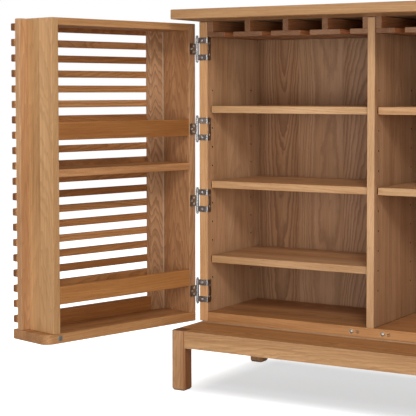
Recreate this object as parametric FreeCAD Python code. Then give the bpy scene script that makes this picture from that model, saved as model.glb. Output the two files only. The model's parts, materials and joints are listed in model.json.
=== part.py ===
import FreeCAD, Part
import math
import os

# Bar armoire: a two-bay carcass on a low leg base, with two deep box doors that carry bottles.
# Millimetres. X to the right, Y to the back, Z up. Each door is drawn closed and then turned to
# door_rest_angle. The whole is drawn about the middle of its base and then moved along Y, so that
# the origin is on the floor under the middle of the armoire with its doors open.

# Carcass
cabinet_width = 1000.0
carcass_depth = 308.0
carcass_height = 798.0
side_thickness = 25.0
divider_thickness = 20.0
bottom_thickness = 25.0
back_thickness = 12.0
back_recess = 24.0
back_groove_depth = 8.0
board_edge_round = 1.5

# Top and base
top_thickness = 25.0
top_edge_round = 2.5
base_height = 156.5
leg_size = 40.0
leg_edge_chamfer = 5.0
base_rail_height = 44.0
base_rail_thickness = 22.0
deck_thickness = 18.0
deck_ledge = 10.0
spacer_thickness = 3.5
spacer_inset = 11.0

# Adjustable shelves and the rows of holes for their hidden pins
shelf_thickness = 19.0
shelf_set_back = 17.0
shelf_back_gap = 1.0
pin_diameter = 4.9
pin_hole_diameter = 5.0
pin_hole_depth = 8.0
pin_reach = 12.0
pin_groove_clearance = 0.3
pin_hole_pitch = 50.0
pin_hole_count = 11
lowest_pin_hole = 116.0
front_hole_offset = 26.0
rear_hole_offset = 40.0
left_shelf_rows = {"lower": 1, "middle": 5, "upper": 9}
right_shelf_rows = {"middle": 5, "upper": 9}

# Stemware rack under the top
rack_slots = 4
rack_slot_width = 26.5
rack_stem_width = 15.0
rack_stem_height = 28.0
rack_flange_thickness = 13.0
rack_set_back = 4.0

# Doors
door_rest_angle = 105.0
door_gap = 3.0
door_meeting_gap = 16.0
door_top_gap = 5.6
door_front_margin = 1.0
door_inner_depth = 101.0
hinge_panel_thickness = 23.0
free_panel_thickness = 20.0
door_lip = 24.0
door_board_thickness = 24.0
door_board_corner = 24.0
door_top_thickness = 18.0
stile_width = 70.0
stile_thickness = 19.0
stile_end_set_back = 2.0
door_bottom_rail_height = 36.0
slat_height = 18.0
slat_thickness = 15.0
slat_pitch = 38.0
slat_edge_round = 2.5
door_shelf_height = 425.0
door_shelf_thickness = 19.0
bottle_rail_lift = 71.0
bottle_rail_height = 44.0
bottle_rail_thickness = 15.0

# Hinges
hinge_rack_gap = 1.0
hinge_above_shelf = 89.0
hinge_below_shelf = 102.0
hinge_bottom_rise = 81.0
hinge_height = 60.0
hinge_strap_height = 15.0
hinge_plate_depth = 16.0
hinge_window_depth = 4.0
hinge_plate_corner = 3.0
frame_leaf_thickness = 1.6
door_leaf_thickness = 1.3
door_leaf_reach = 20.0
door_leaf_height_gap = 0.3
barrel_offset = 5.5
barrel_radius = 4.25
hinge_pin_radius = 2.4
hinge_pin_clearance = 0.05
finial_radius = 3.5
screw_head_radius = 3.0
screw_head_depth = 1.2
screw_shank_radius = 1.5
screw_length = 13.0
screw_clearance = 0.05
strap_screw_inset = 9.0
plate_screw_depth = 7.6
plate_screw_spread = 30.0
door_screw_near = 7.0
door_screw_far = 14.0
door_screw_spread = 16.0

# Catches on the front edge of the bottom panel
catch_offset = 43.0
catch_spacing = 17.0
magnet_radius = 6.0
magnet_depth = 10.0
magnet_dome = 2.0
magnet_clearance = 0.05
bumper_radius = 5.0
bumper_height = 2.4
bumper_dish_radius = 2.5
bumper_dish_depth = 1.0
strike_radius = 7.0
strike_depth = 1.5
strike_proud = 0.5
strike_clearance = 0.05

# Levels and planes that follow from the sizes above
half_width = cabinet_width / 2
door_depth = door_inner_depth + stile_thickness + slat_thickness
front_overhang = door_gap + door_depth + door_front_margin
overall_depth = front_overhang + carcass_depth
front_plane = -overall_depth / 2
carcass_front = front_plane + front_overhang
rear_plane = overall_depth / 2
back_panel_front = rear_plane - back_recess - back_thickness
carcass_bottom = base_height + spacer_thickness
carcass_top = carcass_bottom + carcass_height
inner_side = half_width - side_thickness
bay_floor = carcass_bottom + bottom_thickness
bay_width = inner_side - divider_thickness / 2
front_hole_y = carcass_front + front_hole_offset
rear_hole_y = back_panel_front - rear_hole_offset
shelf_end_gap = frame_leaf_thickness + pin_groove_clearance
hinge_axis_x = -half_width - barrel_offset
hinge_axis_y = carcass_front - door_gap / 2
door_plane = carcass_front - door_gap
door_width = half_width - door_meeting_gap / 2
door_bottom = carcass_bottom
door_top = carcass_top - door_top_gap
door_floor = door_bottom + door_board_thickness
door_ceiling = door_top - door_top_thickness
door_shelf_top = door_bottom + door_shelf_height
free_panel_outer = door_width - door_lip
free_panel_inner = free_panel_outer - free_panel_thickness
hinge_levels = [
    door_bottom + hinge_bottom_rise,
    door_shelf_top - hinge_below_shelf,
    door_shelf_top + hinge_above_shelf,
    carcass_top - rack_stem_height - rack_flange_thickness - hinge_rack_gap - hinge_height / 2,
]
across = FreeCAD.Vector(1, 0, 0)
backward = FreeCAD.Vector(0, 1, 0)
upward = FreeCAD.Vector(0, 0, 1)


def block(x_low, x_high, y_low, y_high, z_low, z_high):
    """A square-edged box between two corners."""
    corner = FreeCAD.Vector(x_low, y_low, z_low)
    return Part.makeBox(x_high - x_low, y_high - y_low, z_high - z_low, corner)


def board(x_low, x_high, y_low, y_high, z_low, z_high, edge_round=board_edge_round):
    """A board with every edge eased, by no more than its thickness allows."""
    shape = block(x_low, x_high, y_low, y_high, z_low, z_high)
    thinnest = min(x_high - x_low, y_high - y_low, z_high - z_low)
    return shape.makeFillet(min(edge_round, thinnest * 0.4), shape.Edges)


def mirrored(shape):
    """The same piece on the other side of the cabinet's middle plane."""
    return shape.mirror(FreeCAD.Vector(0, 0, 0), across)


def cut_all(shape, tools):
    """The shape with every tool taken out of it."""
    return shape.cut(tools) if tools else shape


def rod(x, y, z, radius, length, direction):
    """A round bar that starts at a point."""
    return Part.makeCylinder(radius, length, FreeCAD.Vector(x, y, z), direction)


def top_panel():
    return board(-half_width, half_width, front_plane, rear_plane, carcass_top,
                 carcass_top + top_thickness, top_edge_round)


def left_side_panel(screws):
    """Side board with the back panel's groove, the pin holes and the hinge screws' holes."""
    side = board(-half_width, -inner_side, carcass_front, rear_plane, carcass_bottom, carcass_top)
    return cut_all(side, [back_panel()] + pin_holes(-inner_side, -across) + screws)


def centre_divider():
    half = divider_thickness / 2
    divider = board(-half, half, carcass_front, back_panel_front, bay_floor, carcass_top)
    return cut_all(divider, pin_holes(-half, across) + pin_holes(half, -across))


def bottom_panel():
    panel = board(-inner_side, inner_side, carcass_front, rear_plane, carcass_bottom, bay_floor)
    return cut_all(panel, [back_panel()] + [magnet_pocket(x) for x in catch_places(-1)])


def back_panel():
    """Panel held in grooves in the sides and in the bottom panel."""
    return block(-inner_side - back_groove_depth, inner_side + back_groove_depth, back_panel_front,
                 back_panel_front + back_thickness, bay_floor - back_groove_depth, carcass_top)


def carcass_spacer():
    """Thin board that lifts the carcass, so that the doors clear the deck."""
    reach = half_width - spacer_inset
    return block(-reach, reach, carcass_front, rear_plane - spacer_inset, base_height, carcass_bottom)


def legs():
    """Four square legs with chamfered long edges and feet."""
    shapes = {}
    for side, x_low in (("left", -half_width), ("right", half_width - leg_size)):
        for end, y_low in (("front", front_plane), ("rear", rear_plane - leg_size)):
            leg = block(x_low, x_low + leg_size, y_low, y_low + leg_size, 0, base_height)
            eased = [edge for edge in leg.Edges if edge.BoundBox.ZMin < base_height / 2]
            shapes[end + "_" + side + "_leg"] = leg.makeChamfer(leg_edge_chamfer, eased)
    return shapes


def base_rails():
    """Rails between the legs, each with a ledge cut along its inner top edge for the deck."""
    low = base_height - base_rail_height
    leg_x = half_width - leg_size
    leg_front = front_plane + leg_size
    leg_rear = rear_plane - leg_size
    front = block(-leg_x, leg_x, front_plane, front_plane + base_rail_thickness, low, base_height)
    rear = block(-leg_x, leg_x, rear_plane - base_rail_thickness, rear_plane, low, base_height)
    left = block(-half_width, -half_width + base_rail_thickness, leg_front, leg_rear, low, base_height)
    deck = deck_outline()
    rails = {"front_base_rail": front, "rear_base_rail": rear}
    rails["left_base_rail"] = left
    rails["right_base_rail"] = mirrored(left)
    return {name: rail.cut(deck) for name, rail in rails.items()}


def deck_outline():
    shoulder = base_rail_thickness - deck_ledge
    return block(-half_width + shoulder, half_width - shoulder, front_plane + shoulder,
                 rear_plane - shoulder, base_height - deck_thickness, base_height)


def deck_panel():
    """Deck let into the rails and notched round the legs."""
    notches = []
    for x_low in (-half_width, half_width - leg_size):
        for y_low in (front_plane, rear_plane - leg_size):
            notches.append(block(x_low, x_low + leg_size, y_low, y_low + leg_size, 0, base_height))
    return cut_all(deck_outline(), notches)


def pin_hole_level(row):
    return carcass_bottom + lowest_pin_hole + row * pin_hole_pitch


def pin_holes(x, direction):
    """The two columns of shelf pin holes in one wall."""
    holes = []
    for row in range(pin_hole_count):
        for y in (front_hole_y, rear_hole_y):
            level = pin_hole_level(row)
            holes.append(rod(x, y, level, pin_hole_diameter / 2, pin_hole_depth, direction))
    return holes


def bay(side):
    """Left and right wall of a bay: side is -1 for the left bay and 1 for the right."""
    walls = sorted((side * inner_side, side * divider_thickness / 2))
    return walls[0], walls[1]


def shelf(side, row):
    """Loose shelf with a stopped groove in each end that slides over the hidden pins."""
    wall_low, wall_high = bay(side)
    middle = pin_hole_level(row)
    groove_top = middle + pin_diameter / 2
    low = middle - shelf_thickness / 2
    x_low = wall_low + shelf_end_gap
    x_high = wall_high - shelf_end_gap
    back = back_panel_front - shelf_back_gap
    shape = board(x_low, x_high, carcass_front + shelf_set_back, back, low, low + shelf_thickness)
    groove_front = front_hole_y - pin_diameter / 2 - pin_groove_clearance
    groove_low = groove_top - pin_diameter - pin_groove_clearance
    groove_depth = pin_reach + pin_groove_clearance
    left = block(wall_low, wall_low + groove_depth, groove_front, back, groove_low, groove_top)
    right = block(wall_high - groove_depth, wall_high, groove_front, back, groove_low, groove_top)
    return shape.cut([left, right])


def shelf_pins():
    """Pins in the walls, four under each shelf."""
    pins = []
    length = pin_hole_depth + pin_reach
    for side, rows in ((-1, left_shelf_rows), (1, right_shelf_rows)):
        wall_low, wall_high = bay(side)
        for row in rows.values():
            level = pin_hole_level(row)
            for y in (front_hole_y, rear_hole_y):
                pins.append(rod(wall_low - pin_hole_depth, y, level, pin_diameter / 2, length, across))
                pins.append(rod(wall_high + pin_hole_depth, y, level, pin_diameter / 2, length, -across))
    return pins


def rack(side):
    """Stems and flanges of one bay's stemware rack, with a half rail at each wall."""
    wall_low, wall_high = bay(side)
    pitch = (bay_width - rack_stem_width) / rack_slots
    flange_half = (pitch - rack_slot_width) / 2
    stem_low = carcass_top - rack_stem_height
    front = carcass_front + rack_set_back
    stems = []
    flanges = []
    for number in range(rack_slots + 1):
        middle = wall_low + rack_stem_width / 2 + number * pitch
        stem_half = rack_stem_width / 2
        stems.append(block(middle - stem_half, middle + stem_half, front, back_panel_front,
                           stem_low, carcass_top))
        flange_low = max(middle - flange_half, wall_low)
        flange_high = min(middle + flange_half, wall_high)
        flanges.append(board(flange_low, flange_high, front, back_panel_front,
                             stem_low - rack_flange_thickness, stem_low))
    return stems, flanges


def screw(x, y, z, direction, clearance=0.0):
    """Countersunk screw whose flat head lies at the point, with its shank along direction."""
    head_radius = screw_head_radius + clearance
    shank_radius = screw_shank_radius + clearance
    place = FreeCAD.Vector(x, y, z)
    head = Part.makeCone(head_radius, shank_radius, screw_head_depth, place, direction)
    shank = rod(x, y, z, shank_radius, screw_length + clearance, direction)
    return head.fuse(shank).removeSplitter()


def frame_screws(clearance=0.0):
    """Screws of the left hinges' fixed leaves: two in the straps and two in the inner plate."""
    shapes = []
    strap_face = carcass_front - frame_leaf_thickness
    plate_face = -inner_side + frame_leaf_thickness
    strap_spread = hinge_height / 2 - hinge_strap_height / 2
    strap_x = -half_width + strap_screw_inset
    plate_y = carcass_front + plate_screw_depth
    for level in hinge_levels:
        for side in (-1, 1):
            strap_level = level + side * strap_spread
            plate_level = level + side * plate_screw_spread / 2
            shapes.append(screw(strap_x, strap_face, strap_level, backward, clearance))
            shapes.append(screw(plate_face, plate_y, plate_level, -across, clearance))
    return shapes


def door_screws(clearance=0.0):
    """Screws of the left hinges' moving leaves, three in a triangle, with the door closed."""
    shapes = []
    face = door_plane + door_leaf_thickness
    half_spread = door_screw_spread / 2
    triangle = [(door_screw_near, half_spread), (door_screw_near, -half_spread), (door_screw_far, 0)]
    for level in hinge_levels:
        for inset, lift in triangle:
            shapes.append(screw(-half_width + inset, face, level + lift, -backward, clearance))
    return shapes


def hinge_bore(level):
    radius = hinge_pin_radius + hinge_pin_clearance
    return rod(hinge_axis_x, hinge_axis_y, level - hinge_height, radius, hinge_height * 2, upward)


def frame_leaf(level):
    """Fixed leaf: two straps over the side's front edge and a plate on its inner face."""
    half = hinge_height / 2
    inner = half - hinge_strap_height
    plate_x = -inner_side + frame_leaf_thickness
    strap_face = carcass_front - frame_leaf_thickness
    plate_end = carcass_front + hinge_plate_depth
    leaf = block(-inner_side, plate_x, strap_face, plate_end, level - half, level + half)
    corners = [edge for edge in leaf.Edges if edge.BoundBox.YMin > carcass_front and edge.Length < half]
    leaf = leaf.makeFillet(min(hinge_plate_corner, hinge_plate_depth * 0.8, half * 0.8), corners)
    window_radius = (inner ** 2 + hinge_window_depth ** 2) / (2 * hinge_window_depth)
    window_y = carcass_front + hinge_window_depth - window_radius
    window_start = -inner_side - frame_leaf_thickness
    window = rod(window_start, window_y, level, window_radius, frame_leaf_thickness * 3, across)
    leaf = leaf.cut(window)
    for low in (level - half, level + inner):
        strap = block(hinge_axis_x, plate_x, strap_face, carcass_front, low, low + hinge_strap_height)
        knuckle = rod(hinge_axis_x, hinge_axis_y, low, barrel_radius, hinge_strap_height, upward)
        leaf = leaf.fuse([strap, knuckle])
    return leaf.removeSplitter().cut([hinge_bore(level)] + frame_screws())


def door_leaf(level):
    """Moving leaf on the edge of the door's hinge panel, with the middle knuckle."""
    half = hinge_height / 2 - hinge_strap_height - door_leaf_height_gap
    plate = block(hinge_axis_x, -half_width + door_leaf_reach, door_plane,
                  door_plane + door_leaf_thickness, level - half, level + half)
    knuckle = rod(hinge_axis_x, hinge_axis_y, level - half, barrel_radius, half * 2, upward)
    return plate.fuse(knuckle).removeSplitter().cut([hinge_bore(level)] + door_screws())


def hinge_pin(level):
    """Loose pin through the knuckles, with a ball finial on each end."""
    half = hinge_height / 2
    pin = rod(hinge_axis_x, hinge_axis_y, level - half, hinge_pin_radius, hinge_height, upward)
    rise = half + math.sqrt(finial_radius ** 2 - hinge_pin_radius ** 2)
    for side in (-1, 1):
        centre = FreeCAD.Vector(hinge_axis_x, hinge_axis_y, level + side * rise)
        ball = Part.makeSphere(finial_radius, centre)
        beyond = level + side * half
        keep_low = min(beyond, beyond + side * hinge_height)
        keep = block(hinge_axis_x - hinge_height, hinge_axis_x + hinge_height, hinge_axis_y - hinge_height,
                     hinge_axis_y + hinge_height, keep_low, keep_low + hinge_height)
        pin = pin.fuse(ball.common(keep))
    return pin.removeSplitter()


def catch_places(side_of_pair):
    """X of the magnets (-1) or the bumpers (1): each pair has its magnet on the left."""
    shift = side_of_pair * catch_spacing / 2
    return [-catch_offset + shift, catch_offset + shift]


def catch_level():
    return carcass_bottom + bottom_thickness / 2


def magnet_pocket(x):
    radius = magnet_radius + magnet_clearance
    return rod(x, carcass_front, catch_level(), radius, magnet_depth + magnet_clearance, backward)


def magnet(x):
    """Magnet let into the front edge, with a low domed face."""
    body = rod(x, carcass_front, catch_level(), magnet_radius, magnet_depth, backward)
    dome_radius = (magnet_radius ** 2 + magnet_dome ** 2) / (2 * magnet_dome)
    centre = FreeCAD.Vector(x, carcass_front - magnet_dome + dome_radius, catch_level())
    front = rod(x, carcass_front - magnet_dome, catch_level(), magnet_radius, magnet_dome, backward)
    return body.fuse(Part.makeSphere(dome_radius, centre).common(front)).removeSplitter()


def bumper(x):
    """Clear bumper stuck to the front edge, dished in the middle."""
    face = carcass_front - bumper_height
    disc = rod(x, face, catch_level(), bumper_radius, bumper_height, backward)
    return disc.cut(rod(x, face, catch_level(), bumper_dish_radius, bumper_dish_depth, backward))


def strike(x, clearance=0.0):
    """Steel disc let into the inner edge of a door's bottom board, with the door closed."""
    start = door_plane - strike_depth - clearance
    length = strike_depth + clearance + strike_proud
    return rod(x, start, catch_level(), strike_radius + clearance, length, backward)


def door_block(u_low, u_high, v_low, v_high, z_low, z_high):
    """Box in the left door: u from the hinge edge, v outward from the plane facing the carcass."""
    return block(-half_width + u_low, -half_width + u_high, door_plane - v_high, door_plane - v_low,
                 z_low, z_high)


def door_piece(u_low, u_high, v_low, v_high, z_low, z_high, edge_round=board_edge_round):
    """Board in the left door, with eased edges."""
    return board(-half_width + u_low, -half_width + u_high, door_plane - v_high, door_plane - v_low,
                 z_low, z_high, edge_round)


def door_bottom_board(strike_x):
    """Board under the whole door, round at the inner corner of its free end."""
    shape = door_block(0, door_width, 0, door_depth, door_bottom, door_floor)
    corner_x = -half_width + door_width
    corner = []
    for edge in shape.Edges:
        upright = edge.BoundBox.ZLength > door_board_thickness / 2
        at_corner = abs(edge.BoundBox.XMin - corner_x) < 1 and abs(edge.BoundBox.YMin - door_plane) < 1
        if upright and at_corner:
            corner.append(edge)
    shape = shape.makeFillet(door_board_corner, corner)
    shape = shape.makeFillet(min(board_edge_round, door_board_thickness * 0.4), shape.Edges)
    return shape.cut(strike(strike_x, strike_clearance))


def door_slats():
    """Level slats across the front, at the pitch that the bottom board starts."""
    slats = []
    level = door_bottom + door_board_thickness / 2 + slat_pitch
    back = door_inner_depth + stile_thickness
    while level + slat_height / 2 < door_top:
        slats.append(door_piece(0, door_width, back, door_depth, level - slat_height / 2,
                                level + slat_height / 2, slat_edge_round))
        level += slat_pitch
    return slats


def door_frame():
    """Stiles and rails behind the slats, by name."""
    back = door_inner_depth
    front = door_inner_depth + stile_thickness
    end = door_width - stile_end_set_back
    free_inner = end - stile_width
    bottom_high = door_floor + door_bottom_rail_height
    return {
        "hinge_stile": [door_piece(0, stile_width, back, front, door_floor, door_top)],
        "free_stile": [door_piece(free_inner, end, back, front, door_floor, door_top)],
        "frame_rails": [
            door_piece(stile_width, free_inner, back, front, door_floor, bottom_high),
            door_piece(stile_width, free_inner, back, front, door_ceiling, door_top),
        ],
    }


def door_inside(depth, low, high):
    """Board across the inside of the door, between its two side panels."""
    return door_piece(hinge_panel_thickness, free_panel_inner, 0, depth, low, high)


def door_box():
    """Side panels, top board, shelf and bottle rails, by name."""
    hinge_panel = door_piece(0, hinge_panel_thickness, 0, door_inner_depth, door_floor, door_top)
    free_panel = door_piece(free_panel_inner, free_panel_outer, 0, door_inner_depth, door_floor, door_top)
    shelf_low = door_shelf_top - door_shelf_thickness
    bottle_rails = []
    for floor in (door_floor, door_shelf_top):
        low = floor + bottle_rail_lift
        bottle_rails.append(door_inside(bottle_rail_thickness, low, low + bottle_rail_height))
    return {
        "hinge_panel": [cut_all(hinge_panel, door_screws(screw_clearance))],
        "free_panel": [free_panel],
        "top_board": [door_inside(door_inner_depth, door_ceiling, door_top)],
        "shelf": [door_inside(door_inner_depth, shelf_low, door_shelf_top)],
        "bottle_rails": bottle_rails,
    }


def closed_left_door(strike_x):
    """Every piece of the left door in its closed place, by name."""
    pieces = door_box() | door_frame()
    pieces["bottom_board"] = [door_bottom_board(strike_x)]
    pieces["slats"] = door_slats()
    pieces["strike"] = [strike(strike_x)]
    pieces["hinge_leaves"] = [door_leaf(level) for level in hinge_levels]
    pieces["hinge_screws"] = door_screws()
    return pieces


def open_door(side):
    """One door's pieces turned to the rest angle; the right door is the mirror of a left one."""
    strike_x = catch_places(-1)[0] if side == "left" else -catch_places(-1)[1]
    pivot = FreeCAD.Vector(hinge_axis_x, hinge_axis_y, 0)
    pieces = {}
    for name, solids in closed_left_door(strike_x).items():
        turned = []
        for solid in solids:
            placed = solid.copy()
            placed.rotate(pivot, upward, -door_rest_angle)
            turned.append(placed if side == "left" else mirrored(placed))
        pieces[side + "_door_" + name] = turned
    return pieces


def cabinet():
    """Every fixed piece, by name."""
    pieces = {"top_panel": [top_panel()], "back_panel": [back_panel()], "carcass_spacer": [carcass_spacer()]}
    side = left_side_panel(frame_screws(screw_clearance))
    pieces["left_side_panel"] = [side]
    pieces["right_side_panel"] = [mirrored(side)]
    pieces["centre_divider"] = [centre_divider()]
    pieces["bottom_panel"] = [bottom_panel()]
    pieces["deck_panel"] = [deck_panel()]
    for name, shape in list(legs().items()) + list(base_rails().items()):
        pieces[name] = [shape]
    for place, row in left_shelf_rows.items():
        pieces["left_shelf_" + place] = [shelf(-1, row)]
    for place, row in right_shelf_rows.items():
        pieces["right_shelf_" + place] = [shelf(1, row)]
    pieces["shelf_pins"] = shelf_pins()
    for name, bay_side in (("left", -1), ("right", 1)):
        stems, flanges = rack(bay_side)
        pieces[name + "_rack_stems"] = stems
        pieces[name + "_rack_flanges"] = flanges
    leaves = [frame_leaf(level) for level in hinge_levels]
    pins = [hinge_pin(level) for level in hinge_levels]
    screws = frame_screws()
    pieces["left_frame_leaves"] = leaves
    pieces["right_frame_leaves"] = [mirrored(leaf) for leaf in leaves]
    pieces["left_hinge_pins"] = pins
    pieces["right_hinge_pins"] = [mirrored(pin) for pin in pins]
    pieces["frame_screws"] = screws + [mirrored(shape) for shape in screws]
    pieces["door_magnets"] = [magnet(x) for x in catch_places(-1)]
    pieces["door_bumpers"] = [bumper(x) for x in catch_places(1)]
    return pieces


def centring_move(pieces):
    """The move along Y that puts the origin under the middle of all the pieces."""
    extent = FreeCAD.BoundBox()
    for solids in pieces.values():
        for solid in solids:
            extent.add(solid.BoundBox)
    return FreeCAD.Vector(0, -extent.Center.y, 0)


def export(pieces):
    """One STEP file for each named piece or group of like pieces."""
    os.makedirs("parts", exist_ok=True)
    move = centring_move(pieces)
    hinge = FreeCAD.Vector(hinge_axis_x, hinge_axis_y, 0) + move
    print("moved along Y by", round(move.y, 3), "left hinge axis at", round(hinge.x, 3), round(hinge.y, 3))
    for name, solids in pieces.items():
        shape = solids[0] if len(solids) == 1 else Part.makeCompound(solids)
        shape.translated(move).exportStep(os.path.join("parts", name + ".step"))


export(cabinet() | open_door("left") | open_door("right"))
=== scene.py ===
"""Looks of a bar armoire: figured wood, sheet-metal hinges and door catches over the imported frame."""

import json
import logging
import math
import zlib
from dataclasses import dataclass, replace
from enum import Enum
from functools import reduce
from typing import Any, Iterable, Optional, Sequence, Union

import bmesh
import bpy
from mathutils import Matrix, Vector

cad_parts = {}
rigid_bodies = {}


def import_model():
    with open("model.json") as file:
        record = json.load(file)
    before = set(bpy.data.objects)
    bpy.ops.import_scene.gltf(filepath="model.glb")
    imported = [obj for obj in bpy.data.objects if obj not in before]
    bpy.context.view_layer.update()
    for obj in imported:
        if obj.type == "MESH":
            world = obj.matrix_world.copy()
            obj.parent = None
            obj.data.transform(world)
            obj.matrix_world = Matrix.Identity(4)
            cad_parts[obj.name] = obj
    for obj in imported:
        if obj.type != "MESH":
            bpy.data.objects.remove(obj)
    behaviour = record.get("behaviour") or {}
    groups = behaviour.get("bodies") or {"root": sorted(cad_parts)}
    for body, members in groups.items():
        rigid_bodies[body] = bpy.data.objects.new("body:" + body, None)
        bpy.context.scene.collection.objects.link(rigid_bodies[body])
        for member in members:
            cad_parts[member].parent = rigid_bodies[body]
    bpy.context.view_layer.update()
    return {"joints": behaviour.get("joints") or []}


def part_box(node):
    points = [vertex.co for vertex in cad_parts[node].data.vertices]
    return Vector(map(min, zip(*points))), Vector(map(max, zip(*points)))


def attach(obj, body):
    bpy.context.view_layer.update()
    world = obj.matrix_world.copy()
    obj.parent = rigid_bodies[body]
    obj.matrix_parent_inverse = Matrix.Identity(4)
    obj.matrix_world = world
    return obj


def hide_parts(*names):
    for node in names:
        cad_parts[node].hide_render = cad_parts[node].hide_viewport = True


LOG = logging.getLogger("bar_armoire")

Colour = tuple[float, float, float, float]
Tint = tuple[float, float, float]
Place = tuple[float, float, float]
Step = tuple[float, float]
Shape = bmesh.types.BMesh
Socket = bpy.types.NodeSocket
Value = Union[float, Socket]
Inputs = dict[Union[int, str], object]

FIGURE_SOCKETS = ("Strength", "Ring", "Wild", "Rift", "Bow", "Lean", "Vee", "Flame", "Variety")
WHITE: Colour = (1.0, 1.0, 1.0, 1.0)
QUARTER_TURN = math.pi / 2.0
WHOLE_STAVE = 1.0
MERGE_DISTANCE = 1e-6


class Axis(Enum):
    """Directions of the cabinet's own frame."""

    X = (1.0, 0.0, 0.0)
    Y = (0.0, 1.0, 0.0)
    Z = (0.0, 0.0, 1.0)

    def vector(self) -> Vector:
        """The direction as a vector."""
        return Vector(self.value)


class Side(Enum):
    """The left and right half of the armoire, seen from the front."""

    LEFT = "left"
    RIGHT = "right"

    def sign(self) -> float:
        """One for the left side, as it is drawn, and minus one for its mirror."""
        return 1.0 if self is Side.LEFT else -1.0

    def mirror(self) -> Matrix:
        """The matrix that takes a left-hand shape to this side."""
        return Matrix.Diagonal((self.sign(), 1.0, 1.0, 1.0))


class NodeBench:
    """Short ways to add shader nodes to one tree.

    Args:
        tree: The node tree of a material, a world or a node group.
    """

    MIX_INPUTS = (0, 6, 7)
    MIX_OUTPUT = 2
    NOISE_ROUGHNESS = 0.55
    OPENNESS_SAMPLES = 8

    def __init__(self, tree: bpy.types.NodeTree) -> None:
        """Keeps the tree and takes out its default nodes."""
        self.tree = tree
        self.tree.nodes.clear()

    @classmethod
    def of_material(cls, name: str) -> tuple[bpy.types.Material, "NodeBench"]:
        """Makes a material.

        Args:
            name: Its name.

        Returns:
            The material and its empty bench.
        """
        material = bpy.data.materials.new(name)
        material.use_nodes = True
        return material, cls(material.node_tree)

    def add(self, kind: str, inputs: Optional[Inputs] = None, **settings: object) -> bpy.types.Node:
        """Adds one node.

        Args:
            kind: The node's type name.
            inputs: Plain values, or sockets to link, for its inputs by name or number.
            settings: Properties to set on the node itself.

        Returns:
            The new node.
        """
        node = self.tree.nodes.new(kind)
        for key, value in settings.items():
            setattr(node, key, value)
        for key, value in (inputs or {}).items():
            if isinstance(value, Socket):
                self.tree.links.new(value, node.inputs[key])
            else:
                node.inputs[key].default_value = value
        return node

    def math(self, operation: str, first: Value, second: Value = 0.0) -> Socket:
        """One step of arithmetic; some operations need no second value."""
        return self.add("ShaderNodeMath", {0: first, 1: second}, operation=operation).outputs[0]

    def times(self, first: Value, second: Value) -> Socket:
        """The product of two values."""
        return self.math("MULTIPLY", first, second)

    def minus(self, first: Value, second: Value) -> Socket:
        """The first value less the second."""
        return self.math("SUBTRACT", first, second)

    def inverse(self, value: Value) -> Socket:
        """One less a value."""
        return self.minus(1.0, value)

    def size(self, value: Value) -> Socket:
        """A value without its sign."""
        return self.math("ABSOLUTE", value)

    def spread(self, value: Value, amount: float) -> Socket:
        """A value from 0 to 1 turned into a shift of up to half the amount either way."""
        return self.times(self.minus(value, 0.5), amount)

    def total(self, *terms: Value) -> Socket:
        """The sum of several values."""
        return reduce(lambda first, second: self.math("ADD", first, second), terms)

    def ease(self, value: Value, step: Step) -> Socket:
        """A smooth step from 0 to 1 between two values."""
        inputs = {"Value": value, "From Min": step[0], "From Max": step[1]}
        return self.add("ShaderNodeMapRange", inputs, interpolation_type="SMOOTHSTEP").outputs["Result"]

    def vector(self, x: Value, y: Value, z: Value) -> Socket:
        """A vector from three values."""
        return self.add("ShaderNodeCombineXYZ", {"X": x, "Y": y, "Z": z}).outputs[0]

    def parts(self, place: Socket) -> list[Socket]:
        """The three values of a vector."""
        return list(self.add("ShaderNodeSeparateXYZ", {"Vector": place}).outputs)

    def dot(self, first: object, second: object) -> Socket:
        """How far two directions agree."""
        inputs = {0: first, 1: second}
        return self.add("ShaderNodeVectorMath", inputs, operation="DOT_PRODUCT").outputs["Value"]

    def facing(self, normal: Socket, way: Vector) -> Socket:
        """How far a surface faces along a direction, either way."""
        return self.size(self.dot(normal, way))

    def stretched(self, place: Value, scale: Sequence[float]) -> Socket:
        """A place with each of its coordinates multiplied."""
        return self.add("ShaderNodeVectorMath", {0: place, 1: tuple(scale)}, operation="MULTIPLY").outputs[0]

    def noise(self, place: Value, scale: Sequence[float], detail: float) -> Socket:
        """Smooth noise from 0 to 1, with its own scale along each coordinate.

        Args:
            place: Where it is read.
            scale: What each coordinate is multiplied by.
            detail: How many finer layers it has.

        Returns:
            The noise's socket.
        """
        inputs = {"Vector": self.stretched(place, scale), "Scale": 1.0, "Detail": detail}
        inputs["Roughness"] = self.NOISE_ROUGHNESS
        return self.add("ShaderNodeTexNoise", inputs).outputs["Fac"]

    def draw(self, place: Value) -> list[Socket]:
        """Three unrelated numbers from 0 to 1 that depend on a place alone."""
        lots = self.add("ShaderNodeTexWhiteNoise", {"Vector": place}, noise_dimensions="3D")
        return list(self.add("ShaderNodeSeparateColor", {"Color": lots.outputs["Color"]}).outputs)

    def openness(self, reach: float) -> Socket:
        """How open a place is: 1 out on a face, and less where other faces are within reach."""
        inputs = {"Distance": reach}
        return self.add("ShaderNodeAmbientOcclusion", inputs, samples=self.OPENNESS_SAMPLES).outputs["AO"]

    def blend(self, factor: Value, first: object, second: object, mode: str = "MIX") -> Socket:
        """Two colours mixed, with the factor as the share of the second."""
        inputs = dict(zip(self.MIX_INPUTS, (factor, first, second)))
        return self.add("ShaderNodeMix", inputs, data_type="RGBA", blend_type=mode).outputs[self.MIX_OUTPUT]

    def bump(self, height: Socket, relief: Step) -> Socket:
        """The direction of a surface with a relief of some strength and depth."""
        inputs = {"Strength": relief[0], "Distance": relief[1], "Height": height}
        return self.add("ShaderNodeBump", inputs).outputs["Normal"]

    def surface(self, inputs: Inputs) -> None:
        """Adds the surface's shader and the output that shows it."""
        shader = self.add("ShaderNodeBsdfPrincipled", inputs)
        self.add("ShaderNodeOutputMaterial", {"Surface": shader.outputs["BSDF"]})


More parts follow.
